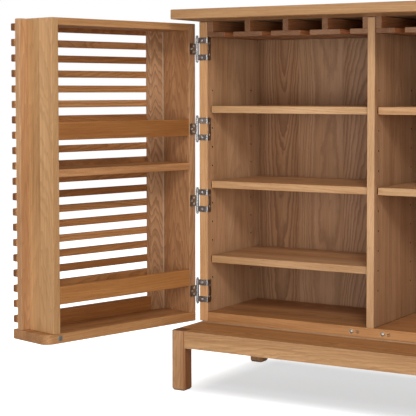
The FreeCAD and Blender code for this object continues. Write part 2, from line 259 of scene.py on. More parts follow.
@dataclass(frozen=True)
class Figure:
    """How the year rings of a board show.

    Args:
        strength: How dark their lines are.
        ring: Mean width of a year ring.
        wild: How far they waver.
        rift: How far aside of a stave the heart of its log lies; 0 gives arches, and 1 straight lines too.
        bow: How much the log bends, which sets how close the arches are.
        lean: How steeply the rings run out of the board's face.
        vee: How steeply they fall away to either side of the heart, which turns arches into chevrons.
        flame: How far they are drawn out into tongues along the grain.
        variety: How much one stave differs from the next in tone.
        end: How dark the end grain is.
    """

    strength: float = 1.0
    ring: float = 0.0052
    wild: float = 1.0
    rift: float = 1.0
    bow: float = 1.0
    lean: float = 0.0
    vee: float = 0.0
    flame: float = 0.0
    variety: float = 1.0
    end: float = 1.0


@dataclass(frozen=True)
class LipAndSideLight:
    """Faces of a board that face one direction either way, with a tint of their own: the edge of another
    piece of wood, and painted light and shade on that side.
    """

    TURN = (0.45, 0.85)

    facing: Vector
    tint: Tint

    def share(self, bench: NodeBench, normal: Socket) -> Socket:
        """How far a surface belongs to the lip, by the way that it faces."""
        return bench.ease(bench.facing(normal, self.facing), self.TURN)


@dataclass(frozen=True)
class PaleLine:
    """Pale line along a joint, at a place across the board from its low edge."""

    FRINGE = (0.35, 0.65)

    place: float
    width: float
    strength: float
    colour: Colour

    def fringe(self) -> Step:
        """How far from its middle the line begins to fade, and ends."""
        return self.width * self.FRINGE[0], self.width * self.FRINGE[1]


@dataclass(frozen=True)
class Board:
    """How the wood of one node lies.

    Args:
        node: The CAD node.
        along: The direction of the grain.
        across: The direction in which staves lie side by side.
        stave: The nominal width of a glued stave, or the pitch of a row of like pieces.
        tint: What this board's colour is multiplied by, since no two boards are alike.
        figure: How its year rings show.
        start: Where the first stave begins, from the node's low edge, if whole staves don't fill the board.
        drilled: Whether it has open holes, whose floors and walls are darkened with painted shade.
        lip: The faces that take a tint of their own, as another piece of wood and as painted light and shade
            on that side, if it has one.
        pale_line: The pale line along one of its joints, if it has one.
        shade: How strongly painted shade darkens the corners that light hardly reaches.
    """

    STAVE_MARGIN = 1.0002
    SEED_RANGE = 977

    node: str
    along: Vector
    across: Vector
    stave: float
    tint: Tint = (1.0, 1.0, 1.0)
    figure: Figure = Figure()
    start: Optional[float] = None
    drilled: bool = False
    lip: Optional[LipAndSideLight] = None
    pale_line: Optional[PaleLine] = None
    shade: float = 0.0

    def reach(self, direction: Vector) -> tuple[float, float]:
        """The lowest and highest place of the node along a direction."""
        places = [vertex.co.dot(direction) for vertex in bpy.data.objects[self.node].data.vertices]
        return min(places), max(places)

    def through(self) -> Vector:
        """The direction of the board's thickness."""
        return self.along.cross(self.across)

    def turn(self) -> tuple[float, float, float]:
        """The board's own axes as Euler angles."""
        rows = Matrix((self.along, self.across, self.through()))
        return tuple(rows.transposed().to_euler("XYZ"))

    def corner(self) -> Vector:
        """The corner that the board's own coordinates start from.

        Returns:
            Its place in the cabinet's frame.
        """
        axes = (self.along, self.across, self.through())
        low = sum((axis * self.reach(axis)[0] for axis in axes), Vector())
        return low + self.across * (self.start or 0.0)

    def stave_width(self) -> float:
        """The width of a stave, so that whole staves fill the board.

        Returns:
            A hair more than an even share, so that no stave begins at the far edge.
        """
        if self.start is not None:
            return self.stave
        low, high = self.reach(self.across)
        count = max(1, round((high - low) / self.stave))
        return (high - low) * self.STAVE_MARGIN / count

    def seed(self) -> float:
        """A number of the board's own, the same in every run."""
        return zlib.crc32(self.node.encode()) % self.SEED_RANGE + 0.5


def coat(node: str, material: bpy.types.Material) -> None:
    """Gives a whole CAD node one material."""
    for slot in bpy.data.objects[node].material_slots:
        slot.material = material


@dataclass(frozen=True)
class WoodFinish:
    """Solid wood under a satin oil finish.

    Args:
        name: The finish's name.
        light: Colour of the palest fibres.
        middle: Colour of most of the wood.
        deep: Colour of the dark fibres.
        line: Colour of the lines between year rings.
        blush: Redder tint that some staves take.
        end: Tint of the end grain.
        wear_and_highlight: Colour of the edges, where handling has thinned the finish, with a painted
            highlight along them.
        corner_shade_paint: Colour of the painted shade towards which corners darken.
        hole_shade_paint: Colour of the painted shade inside narrow holes.
        gloss: Mean roughness.
        sheen: Level of the highlights.
    """

    name: str
    light: Colour
    middle: Colour
    deep: Colour
    line: Colour
    blush: Colour
    end: Colour
    wear_and_highlight: Colour
    corner_shade_paint: Colour
    hole_shade_paint: Colour
    gloss: float = 0.42
    sheen: float = 0.35

    def dress(self, board: Board) -> None:
        """Gives a board's CAD node this finish."""
        coat(board.node, WoodCoat(self, board).material)
        LOG.info("%s is %s, in staves of %.0f mm", board.node, self.name, board.stave_width() * 1000.0)


class WoodCoat:
    """The material of a wood finish as it lies on one board.

    Args:
        finish: The finish.
        board: The board, with its grain and staves.
    """

    RELIEF = (0.30, 0.0004)
    END_TURN = (0.55, 0.9)
    PAINTED_SHADE_REACH = 0.16
    PAINTED_SHADE_STEP = (0.25, 0.95)
    HOLE_REACH = 0.010
    HOLE_FLOOR = (0.22, 0.50)
    HOLE_WALL = (0.38, 0.64)
    HOLE_TURN = (0.3, 0.7)

    def __init__(self, finish: WoodFinish, board: Board) -> None:
        """Makes the material, from the figure to the surface."""
        self.finish = finish
        self.board = board
        self.material, self.bench = NodeBench.of_material(board.node + "_" + finish.name)
        source = self.bench.add("ShaderNodeTexCoord").outputs
        self.normal = source["Normal"]
        laid = {"Vector": source["Object"], "Location": board.corner(), "Rotation": board.turn()}
        self.place = self.bench.add("ShaderNodeMapping", laid, vector_type="TEXTURE").outputs["Vector"]
        figure = self.figured().outputs
        colour = self.bench.blend(1.0, figure["Colour"], self.tint(), "MULTIPLY")
        if board.pale_line:
            colour = self.with_pale_line(colour)
        if board.shade:
            colour = self.with_painted_shade(colour)
        if board.drilled:
            colour = self.with_painted_hole_shade(colour)
        self.bench.surface({
            "Base Color": colour,
            "Roughness": figure["Roughness"],
            "Normal": self.bench.bump(figure["Height"], self.RELIEF),
            "Specular IOR Level": finish.sheen,
        })

    def figured(self) -> bpy.types.Node:
        """Draws the wood's figure.

        Returns:
            The node that gives its colour, roughness and height.
        """
        board = self.board
        inputs = {label: getattr(board.figure, label.lower()) for label in FIGURE_SOCKETS}
        inputs["Place"] = self.place
        inputs["Stave"] = board.stave_width()
        inputs["Seed"] = board.seed()
        ends = self.bench.ease(self.bench.facing(self.normal, board.along), self.END_TURN)
        inputs["End"] = self.bench.times(ends, board.figure.end)
        return self.bench.add("ShaderNodeGroup", inputs, node_tree=WoodFigure.of(self.finish))

    def tint(self) -> object:
        """What the figure's colour is multiplied by, on the board's faces and on its lip.

        Returns:
            One tint, or the socket of a mix of two.
        """
        face = (*self.board.tint, 1.0)
        if not self.board.lip:
            return face
        # the lip's tint also paints light and shade on the faces that face its way
        share = self.board.lip.share(self.bench, self.normal)
        return self.bench.blend(share, face, (*self.board.lip.tint, 1.0))

    def with_pale_line(self, colour: Socket) -> Socket:
        """Draws the pale line along a joint.

        Args:
            colour: The wood's colour.

        Returns:
            The colour with the line.
        """
        bench, pale_line = self.bench, self.board.pale_line
        away = bench.size(bench.minus(bench.parts(self.place)[1], pale_line.place))
        faded = bench.times(pale_line.strength, bench.ease(away, pale_line.fringe()))
        return bench.blend(bench.minus(pale_line.strength, faded), colour, pale_line.colour)

    def with_painted_shade(self, colour: Socket) -> Socket:
        """Paints shade into the corners that light hardly reaches, but not on the board's lip.

        Args:
            colour: The wood's colour.

        Returns:
            The colour with painted shade in its corners.
        """
        bench, board = self.bench, self.board
        # painted shade: the colour darkens where nearby faces keep the light out
        lit = bench.ease(bench.openness(self.PAINTED_SHADE_REACH), self.PAINTED_SHADE_STEP)
        painted_shade_share = bench.times(bench.inverse(lit), board.shade)
        if board.lip:
            painted_shade_share = bench.times(painted_shade_share, bench.inverse(board.lip.share(bench, self.normal)))
        return bench.blend(painted_shade_share, colour, self.finish.corner_shade_paint)

    def with_painted_hole_shade(self, colour: Socket) -> Socket:
        """Paints shade on the floors and walls of narrow holes through the board's thickness.

        Args:
            colour: The wood's colour.

        Returns:
            The colour with painted shade in its holes.
        """
        bench = self.bench
        # painted shade: hole floors and walls darken by how closed in they are
        openness = bench.openness(self.HOLE_REACH)
        floor = bench.inverse(bench.ease(openness, self.HOLE_FLOOR))
        outward = bench.ease(bench.facing(self.normal, self.board.through()), self.HOLE_TURN)
        wall = bench.inverse(bench.total(outward, bench.ease(openness, self.HOLE_WALL)))
        return bench.blend(bench.math("MAXIMUM", floor, wall), colour, self.finish.hole_shade_paint)


@dataclass(frozen=True)
class Grain:
    """Noise drawn out along the grain: its scales along and across it, its detail and its weight."""

    along: float
    across: float
    detail: float
    weight: float = 1.0


class WoodFigure:
    """The node group that draws a finish on a board: staves, year rings, fibres, pores, and edges lightened
    by wear and a painted highlight.

    Args:
        finish: The wood's colours and gloss.
    """

    DRAWS = (0.0, 5.3, 9.1)
    LOG_RUN = 9.0
    HEART_SPREAD = 0.10
    HEART_DEPTH = 0.10
    HEART_COVER = 0.012
    BEND_SCALE = (1.7, 1.0, 3.7)
    BEND_SPREAD = 0.05
    BOW_SCALE = (1.3, 1.7, 2.9)
    BOW_SPREAD = 0.06
    TILT_SPREAD = 0.24
    WAVES = Grain(8.0, 24.0, 2.0, 0.012)
    RIPPLE = Grain(34.0, 80.0, 2.0, 0.0050)
    TONGUES = Grain(2.4, 46.0, 2.0, 0.042)
    UNEVEN_SCALE = (70.0, 1.0, 1.0)
    UNEVEN_SPREAD = 3.0
    LATE_RISE = (0.26, 0.86)
    LATE_FALL = (0.86, 1.0)
    THREADS = Grain(7.0, 210.0, 3.0, 0.62)
    HAIRS = Grain(22.0, 620.0, 2.0, 0.45)
    BANDS = Grain(1.6, 34.0, 3.0, 1.05)
    CLOUDS = Grain(2.1, 7.0, 2.0, 0.75)
    DASHES = Grain(50.0, 1000.0, 1.0)
    PORE_STEP = (0.56, 0.68)
    PORE_STRENGTH = 0.40
    TONE_SPREAD = 0.42
    TONE_ENDS = (0.10, 0.90)
    STAVE_WARMTH = 0.45
    CLOUD_WARMTH = 0.9
    WARM_STEP = (0.0, 0.9)
    LINE_FLOOR = 0.35
    LINE_BREAKS = 0.6
    FAINTEST_LINE = 0.20
    LINE_SPREAD = 0.40
    # edge lightening: part wear of the finish, part painted highlight
    EDGE_WEAR_HIGHLIGHT_REACH = 0.0024
    EDGE_WEAR_HIGHLIGHT_SAMPLES = 4
    EDGE_WEAR_HIGHLIGHT_STEP = (0.02, 0.30)
    EDGE_WEAR_HIGHLIGHT_STRENGTH = 0.34
    LATE_ROUGHNESS = 0.10
    THREAD_ROUGHNESS = 0.16
    END_ROUGHNESS = 0.25
    HAIR_RELIEF = 0.45
    LATE_RELIEF = -0.30
    PORE_RELIEF = -0.9

    def __init__(self, finish: WoodFinish) -> None:
        """Makes the group's sockets and fills it."""
        self.finish = finish
        self.tree = bpy.data.node_groups.new(finish.name, "ShaderNodeTree")
        add_socket = self.tree.interface.new_socket
        add_socket("Place", in_out="INPUT", socket_type="NodeSocketVector")
        for label in ("Stave", "Seed", "End", *FIGURE_SOCKETS):
            add_socket(label, in_out="INPUT", socket_type="NodeSocketFloat")
        add_socket("Colour", in_out="OUTPUT", socket_type="NodeSocketColor")
        for label in ("Roughness", "Height"):
            add_socket(label, in_out="OUTPUT", socket_type="NodeSocketFloat")
        self.bench = NodeBench(self.tree)
        self.source = self.bench.add("NodeGroupInput").outputs
        self.lay_staves()
        self.grow_rings()
        self.draw_fibres()
        self.finish_surface()

    @classmethod
    def of(cls, finish: WoodFinish) -> bpy.types.NodeTree:
        """The finish's group, made once."""
        return bpy.data.node_groups.get(finish.name) or cls(finish).tree

    def lots(self, turn: float) -> list[Socket]:
        """Three random numbers for each stave; another turn gives others."""
        return self.bench.draw(self.bench.vector(self.cell, self.source["Seed"], turn))

    def noise(self, grain: Grain) -> Socket:
        """Noise along the grain of the stave's own piece of a log."""
        return self.bench.noise(self.place, (grain.along, grain.across, grain.across), grain.detail)

    def shift_by(self, grain: Grain) -> Socket:
        """A shift either way by noise along the grain, as far as its weight says."""
        return self.bench.spread(self.noise(grain), grain.weight)

    def lay_staves(self) -> None:
        """Splits the board into staves and gives each its own piece of a log."""
        bench = self.bench
        self.along, self.across, self.through = bench.parts(self.source["Place"])
        self.cell = bench.math("FLOOR", bench.math("DIVIDE", self.across, self.source["Stave"]))
        middle = bench.times(bench.total(self.cell, 0.5), self.source["Stave"])
        self.within = bench.minus(self.across, middle)
        first, second, third = (self.lots(turn) for turn in self.DRAWS)
        self.shift, self.sideways, self.depth = first
        self.tilt, self.tone, self.redness = second
        self.strength = third[0]
        self.run = bench.total(self.along, bench.times(self.shift, self.LOG_RUN))
        self.place = bench.vector(self.run, self.across, self.through)

    def from_heart(self) -> tuple[Socket, Socket]:
        """How far a place lies from the heart of its stave's log.

        Returns:
            The distance across the board, and the distance through it.
        """
        bench, source = self.bench, self.source
        log_place = bench.vector(self.run, source["Seed"], self.cell)
        bend = bench.spread(bench.noise(log_place, self.BEND_SCALE, 1.0), self.BEND_SPREAD)
        bow = bench.spread(bench.noise(log_place, self.BOW_SCALE, 1.0), self.BOW_SPREAD)
        aside = bench.total(bench.spread(self.sideways, self.HEART_SPREAD), bend)
        buried = bench.times(bench.times(self.depth, self.depth), self.HEART_DEPTH)
        slope = bench.total(bench.times(self.along, bench.spread(self.tilt, self.TILT_SPREAD)), bow)
        deep = bench.total(self.through, buried, bench.times(slope, source["Bow"]),
                           bench.times(self.along, source["Lean"]), self.HEART_COVER)
        return bench.total(self.within, bench.times(aside, source["Rift"])), deep

    def grow_rings(self) -> None:
        """Draws the year rings about the heart of each stave's log."""
        bench, source = self.bench, self.source
        side, deep = self.from_heart()
        squares = bench.total(bench.math("POWER", side, 2.0), bench.math("POWER", deep, 2.0))
        waver = bench.total(self.shift_by(self.WAVES), self.shift_by(self.RIPPLE))
        radius = bench.total(bench.math("SQRT", squares), bench.times(waver, source["Wild"]),
                             bench.times(self.shift_by(self.TONGUES), source["Flame"]),
                             bench.times(bench.size(side), source["Vee"]))
        ring_place = bench.vector(radius, source["Seed"], self.cell)
        uneven = bench.spread(bench.noise(ring_place, self.UNEVEN_SCALE, 2.0), self.UNEVEN_SPREAD)
        ring = bench.math("FRACT", bench.total(bench.math("DIVIDE", radius, source["Ring"]), uneven))
        fall = bench.ease(ring, self.LATE_FALL)
        self.late = bench.times(bench.ease(ring, self.LATE_RISE), bench.inverse(fall))

    def draw_fibres(self) -> None:
        """Draws the threads, bands, clouds and pores that run along the grain."""
        self.threads = self.noise(self.THREADS)
        self.hairs = self.noise(self.HAIRS)
        self.bands = self.noise(self.BANDS)
        self.clouds = self.noise(self.CLOUDS)
        self.pores = self.bench.times(self.bench.ease(self.noise(self.DASHES), self.PORE_STEP), self.late)

    def ground(self) -> Socket:
        """The wood's ground colour, from its dark fibres to its pale ones.

        Returns:
            The colour's socket.
        """
        bench, finish = self.bench, self.finish
        tone = bench.times(bench.spread(self.tone, self.TONE_SPREAD), self.source["Variety"])
        shade = bench.total(0.5, bench.spread(self.threads, self.THREADS.weight),
                            bench.spread(self.hairs, self.HAIRS.weight),
                            bench.spread(self.bands, self.BANDS.weight),
                            bench.spread(self.clouds, self.CLOUDS.weight), tone)
        ramp = bench.add("ShaderNodeValToRGB", {"Fac": shade})
        elements = ramp.color_ramp.elements
        for element, place, colour in zip(elements, self.TONE_ENDS, (finish.deep, finish.light)):
            element.position = place
            element.color = colour
        elements.new(0.5).color = finish.middle
        clouded = bench.spread(self.clouds, self.CLOUD_WARMTH)
        warmth = bench.total(bench.times(self.redness, self.STAVE_WARMTH), clouded)
        warm = bench.ease(warmth, self.WARM_STEP)
        return bench.blend(warm, ramp.outputs["Color"], finish.blush, "MULTIPLY")

    def edge_wear_and_highlight(self) -> Socket:
        """How near a place is to an edge, which is lightened by worn finish and a painted highlight.

        Returns:
            The socket of a value from 0 to 1.
        """
        bevel = self.bench.add("ShaderNodeBevel", {"Radius": self.EDGE_WEAR_HIGHLIGHT_REACH}, samples=self.EDGE_WEAR_HIGHLIGHT_SAMPLES)
        flat = self.bench.add("ShaderNodeNewGeometry").outputs["Normal"]
        level = self.bench.dot(bevel.outputs["Normal"], flat)
        return self.bench.ease(self.bench.inverse(level), self.EDGE_WEAR_HIGHLIGHT_STEP)

    def marked(self, colour: Socket) -> Socket:
        """Draws the rings' lines, the pores, the edges lightened by wear and a painted highlight, and the
        end grain.

        Args:
            colour: The wood's ground colour.

        Returns:
            The colour with its marks.
        """
        bench, finish = self.bench, self.finish
        breaks = bench.total(self.LINE_FLOOR, self.hairs, bench.spread(self.threads, self.LINE_BREAKS))
        strength = bench.total(self.FAINTEST_LINE, bench.times(self.strength, self.LINE_SPREAD))
        lines = bench.times(bench.times(self.late, breaks), bench.times(strength, self.source["Strength"]))
        colour = bench.blend(lines, colour, finish.line)
        colour = bench.blend(bench.times(self.pores, self.PORE_STRENGTH), colour, finish.line)
        # edges: part wear of the finish, part painted highlight
        colour = bench.blend(bench.times(self.edge_wear_and_highlight(), self.EDGE_WEAR_HIGHLIGHT_STRENGTH), colour, finish.wear_and_highlight)
        return bench.blend(self.source["End"], colour, finish.end, "MULTIPLY")

    def finish_surface(self) -> None:
        """Turns the figure into colour, roughness and height."""
        bench = self.bench
        rough = bench.total(self.finish.gloss, bench.times(self.late, self.LATE_ROUGHNESS),
                            bench.spread(self.threads, self.THREAD_ROUGHNESS),
                            bench.times(self.source["End"], self.END_ROUGHNESS))
        height = bench.total(bench.times(self.hairs, self.HAIR_RELIEF),
                             bench.times(self.late, self.LATE_RELIEF),
                             bench.times(self.pores, self.PORE_RELIEF))
        colour = self.marked(self.ground())
        bench.add("NodeGroupOutput", {"Colour": colour, "Roughness": rough, "Height": height})


@dataclass(frozen=True)
class MetalFinish:
    """Plated or bare sheet steel.

    Args:
        name: The finish's name.
        colour: Colour of the bare metal.
        dull: Colour where the plating is dulled.
        gloss: Mean roughness.
        brush: Directions in which brush marks are drawn out, as scales of their noise.
    """

    SPOT_SCALE = (160.0, 160.0, 160.0)
    SPOT_STEP = (0.45, 0.75)
    SPOT_ROUGHNESS = 0.08
    MARK_ROUGHNESS = 0.16
    RELIEF = (0.12, 0.0001)

    name: str
    colour: Colour
    dull: Colour
    gloss: float
    brush: tuple[float, float, float]

    def material(self) -> bpy.types.Material:
        """The finish, made once."""
        return bpy.data.materials.get(self.name) or self.made()

    def made(self) -> bpy.types.Material:
        """Makes the finish.

        Returns:
            The new material.
        """
        material, bench = NodeBench.of_material(self.name)
        place = bench.add("ShaderNodeTexCoord").outputs["Object"]
        marks = bench.noise(place, self.brush, 2.0)
        spots = bench.noise(place, self.SPOT_SCALE, 3.0)
        bench.surface({
            "Base Color": bench.blend(bench.ease(spots, self.SPOT_STEP), self.colour, self.dull),
            "Metallic": 1.0,
            "Roughness": bench.total(self.gloss, bench.spread(marks, self.MARK_ROUGHNESS),
                                     bench.spread(spots, self.SPOT_ROUGHNESS)),
            "Normal": bench.bump(marks, self.RELIEF),
        })
        return material


@dataclass(frozen=True)
class ClearFinish:
    """Clear soft plastic, a little hazy inside.

    Args:
        name: The finish's name.
        tint: Colour of the plastic.
        haze: Colour of the haze.
        body: How much of the light the plastic stops.
    """

    HAZE_SCALE = (400.0, 400.0, 400.0)
    HAZE_SHARE = 0.5
    HAZE_ROUGHNESS = 0.10
    GLOSS = 0.12
    REFRACTION = 1.46

    name: str
    tint: Colour
    haze: Colour
    body: float

    def material(self) -> bpy.types.Material:
        """The finish, made once."""
        return bpy.data.materials.get(self.name) or self.made()

    def made(self) -> bpy.types.Material:
        """Makes the finish.

        Returns:
            The new material.
        """
        material, bench = NodeBench.of_material(self.name)
        place = bench.add("ShaderNodeTexCoord").outputs["Object"]
        cloud = bench.noise(place, self.HAZE_SCALE, 2.0)
        bench.surface({
            "Base Color": bench.blend(bench.times(cloud, self.HAZE_SHARE), self.tint, self.haze),
            "Roughness": bench.total(self.GLOSS, bench.spread(cloud, self.HAZE_ROUGHNESS)),
            "IOR": self.REFRACTION,
            "Alpha": self.body,
        })
        return material


CASE_WOOD = WoodFinish(
    name="satin_wood",
    light=(0.62, 0.385, 0.210, 1.0),
    middle=(0.50, 0.285, 0.136, 1.0),
    deep=(0.345, 0.172, 0.072, 1.0),
    line=(0.205, 0.088, 0.034, 1.0),
    blush=(1.0, 0.86, 0.76, 1.0),
    end=(0.50, 0.44, 0.40, 1.0),
    wear_and_highlight=(0.84, 0.58, 0.36, 1.0),
    # dusk and dust: colours of the painted shade in corners and in holes
    corner_shade_paint=(0.060, 0.032, 0.018, 1.0),
    hole_shade_paint=(0.020, 0.011, 0.006, 1.0),
)
QUIET_FIGURE = Figure(strength=0.40, wild=0.5, bow=0.6)
SHELF_FIGURE = replace(QUIET_FIGURE, variety=0.3)
BOARD_FIGURE = replace(QUIET_FIGURE, end=0.35)
PLAIN_FIGURE = Figure(strength=1.45, ring=0.0062, wild=0.8)
FAINT_FIGURE = Figure(strength=0.50, ring=0.0062, wild=0.7)
ARCHED_FIGURE = Figure(
    strength=0.36, ring=0.0075, wild=0.9, rift=0.5, bow=0.8, lean=0.13, vee=0.14, flame=0.35)
STRONG_FIGURE = Figure(
    strength=2.5, ring=0.0085, wild=1.3, rift=0.3, bow=0.6, lean=0.20, vee=0.26, flame=0.80)
FLAMED_FIGURE = Figure(
    strength=3.2, ring=0.0115, wild=1.3, rift=0.0, bow=0.4, lean=0.36, vee=0.48, flame=0.60)
STREAKED_FIGURE = Figure(strength=0.8, ring=0.0120, wild=0.4, rift=0.3, bow=0.5, lean=0.08, flame=1.3)
SLAT_FIGURE = Figure(variety=2.2)
RACK_FIGURE = Figure(end=0.1)
HINGE_NICKEL = MetalFinish(
    "satin_nickel", (0.35, 0.345, 0.34, 1.0), (0.25, 0.245, 0.24, 1.0), 0.28, (900.0, 900.0, 60.0))
SCREW_STEEL = MetalFinish(
    "bright_zinc", (0.94, 0.94, 0.93, 1.0), (0.80, 0.80, 0.79, 1.0), 0.36, (300.0, 300.0, 300.0))
CATCH_STEEL = MetalFinish(
    "dull_nickel", (0.60, 0.54, 0.46, 1.0), (0.44, 0.39, 0.32, 1.0), 0.46, (300.0, 300.0, 300.0))
STRIKE_STEEL = MetalFinish(
    "bare_disc_steel", (0.40, 0.39, 0.36, 1.0), (0.28, 0.27, 0.25, 1.0), 0.40, (500.0, 80.0, 500.0))
PIN_STEEL = MetalFinish(
    "plated_pin_steel", (0.55, 0.55, 0.54, 1.0), (0.42, 0.42, 0.41, 1.0), 0.28, (60.0, 700.0, 700.0))
CLEAR_PLASTIC = ClearFinish("clear_plastic", (0.95, 0.88, 0.78, 1.0), (0.80, 0.70, 0.58, 1.0), 0.06)


def turned(profile: Sequence[tuple[float, float]], steps: int) -> Shape:
    """A shape turned about the Z axis.

    Args:
        profile: Radius and height of each point, from the axis back to the axis.
        steps: How many facets go round.

    Returns:
        A new closed bmesh.
    """
    shape = bmesh.new()
    points = [shape.verts.new((radius, 0.0, height)) for radius, height in profile]
    edges = [shape.edges.new(pair) for pair in zip(points, points[1:])]
    bmesh.ops.spin(shape, geom=points + edges, cent=(0, 0, 0), axis=(0, 0, 1), angle=math.tau, steps=steps,
                   use_merge=True)
    bmesh.ops.remove_doubles(shape, verts=shape.verts, dist=MERGE_DISTANCE)
    bmesh.ops.recalc_face_normals(shape, faces=shape.faces)
    return shape


def add_shape(target: Shape, shape: Shape, place: Matrix) -> None:
    """Copies a shape into another at a place.

    Args:
        target: The bmesh that grows.
        shape: The shape to copy, which stays as it is.
        place: Where the copy goes.
    """
    copy = bpy.data.meshes.new("copy")
    shape.to_mesh(copy)
    copy.transform(place)
    target.from_mesh(copy)
    bpy.data.meshes.remove(copy)


def copies(shape: Shape, places: Iterable[Matrix]) -> Shape:
    """Copies of one shape at several places.

    Args:
        shape: The shape, which is used up.
        places: Where the copies go.

    Returns:
        A new bmesh of them all.
    """
    whole = bmesh.new()
    for place in places:
        add_shape(whole, shape, place)
    shape.free()
    return whole


@dataclass(frozen=True)
class Fitting:
    """What a new piece stands for and moves with.

    Args:
        name: The piece's name.
        body: The body that it rides on.
        node: The CAD node that it replaces.
        slot: The record's slot for its finish; not used.
    """

    CREASE = math.radians(35.0)

    name: str
    body: str
    node: str
    slot: str

    def place(self, shape: Shape, material: bpy.types.Material) -> None:
        """Makes the piece in the scene.

        Args:
            shape: Its form, in the cabinet's frame; it is used up.
            material: Its finish.
        """
        mesh = bpy.data.meshes.new(self.name)
        bmesh.ops.recalc_face_normals(shape, faces=shape.faces)
        shape.to_mesh(mesh)
        shape.free()
        mesh.shade_smooth()
        mesh.set_sharp_from_angle(angle=self.CREASE)
        mesh.materials.append(material)
        piece = bpy.data.objects.new(self.name, mesh)
        bpy.context.scene.collection.objects.link(piece)
        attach(piece, self.body)
        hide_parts(self.node)
        LOG.info("%s replaces %s with %d faces", self.name, self.node, len(mesh.polygons))


@dataclass(frozen=True)
class Screw:
    """Countersunk screw with a low domed head and a cross recess."""

    FLAT_TOLERANCE = 1e-7
    LEAST_SHARE = 1e-6

    head_radius: float = 0.0030
    rim: float = 0.00012
    dome: float = 0.00035
    shoulder_share: float = 0.88
    shoulder_rise: float = 0.5
    head_depth: float = 0.0012
    shank_radius: float = 0.0015
    length: float = 0.0125
    tip_share: float = 0.5
    tip_end: float = 0.93
    tip_start: float = 0.8
    flat_share: float = 1.25
    cross_reach: float = 0.0018
    cross_half_width: float = 0.00048
    cross_depth: float = 0.0009
    cross_margin: float = 0.05
    cross_taper: float = 0.6
    facets: int = 24

    def flat_radius(self) -> float:
        """Radius of the flat in the middle of the head."""
        return self.cross_reach * self.flat_share

    def top(self) -> float:
        """Height of the flat over the screw's seat."""
        return self.rim + self.dome

    def shape(self) -> Shape:
        """The screw with its seat at the origin and its head towards +Z.

        Returns:
            A new closed bmesh.
        """
        screw = turned([
            (0.0, -self.length),
            (self.shank_radius * self.tip_share, -self.length * self.tip_end),
            (self.shank_radius, -self.length * self.tip_start),
            (self.shank_radius, -self.head_depth),
            (self.head_radius, 0.0),
            (self.head_radius, self.rim),
            (self.head_radius * self.shoulder_share, self.rim + self.dome * self.shoulder_rise),
            (self.flat_radius(), self.top()),
            (0.0, self.top()),
        ], self.facets)
        self.cut_cross(screw)
        return screw

    def crown(self, screw: Shape) -> list[bmesh.types.BMFace]:
        """The faces of the flat in the middle of the head."""
        level = self.top() - self.FLAT_TOLERANCE
        return [face for face in screw.faces if all(vert.co.z > level for vert in face.verts)]

    def cut_cross(self, screw: Shape) -> None:
        """Presses the cross into the head.

        Args:
            screw: The turned screw.
        """
        bmesh.ops.dissolve_faces(screw, faces=self.crown(screw), use_verts=True)
        crown = self.crown(screw)
        margin = self.flat_radius() * self.cross_margin
        bmesh.ops.inset_region(screw, faces=crown, thickness=margin, depth=0.0)
        for vert in crown[0].verts:
            self.pull_to_cross(vert)
        sunk = bmesh.ops.extrude_face_region(screw, geom=crown)
        floor = [item for item in sunk["geom"] if isinstance(item, bmesh.types.BMVert)]
        bmesh.ops.delete(screw, geom=crown, context="FACES_ONLY")
        bmesh.ops.scale(screw, vec=(self.cross_taper, self.cross_taper, 1.0), verts=floor)
        bmesh.ops.translate(screw, vec=(0.0, 0.0, -self.cross_depth), verts=floor)
        bmesh.ops.recalc_face_normals(screw, faces=screw.faces)

    def pull_to_cross(self, vert: bmesh.types.BMVert) -> None:
        """Moves one point of a ring in to the outline of the cross.

        Args:
            vert: The point.
        """
        flat = Vector((vert.co.x, vert.co.y))
        longer = max(abs(flat.x), abs(flat.y)) / flat.length
        shorter = max(min(abs(flat.x), abs(flat.y)) / flat.length, self.LEAST_SHARE)
        reach = min(self.cross_reach / longer, self.cross_half_width / shorter)
        vert.co.x = flat.x / flat.length * reach
        vert.co.y = flat.y / flat.length * reach


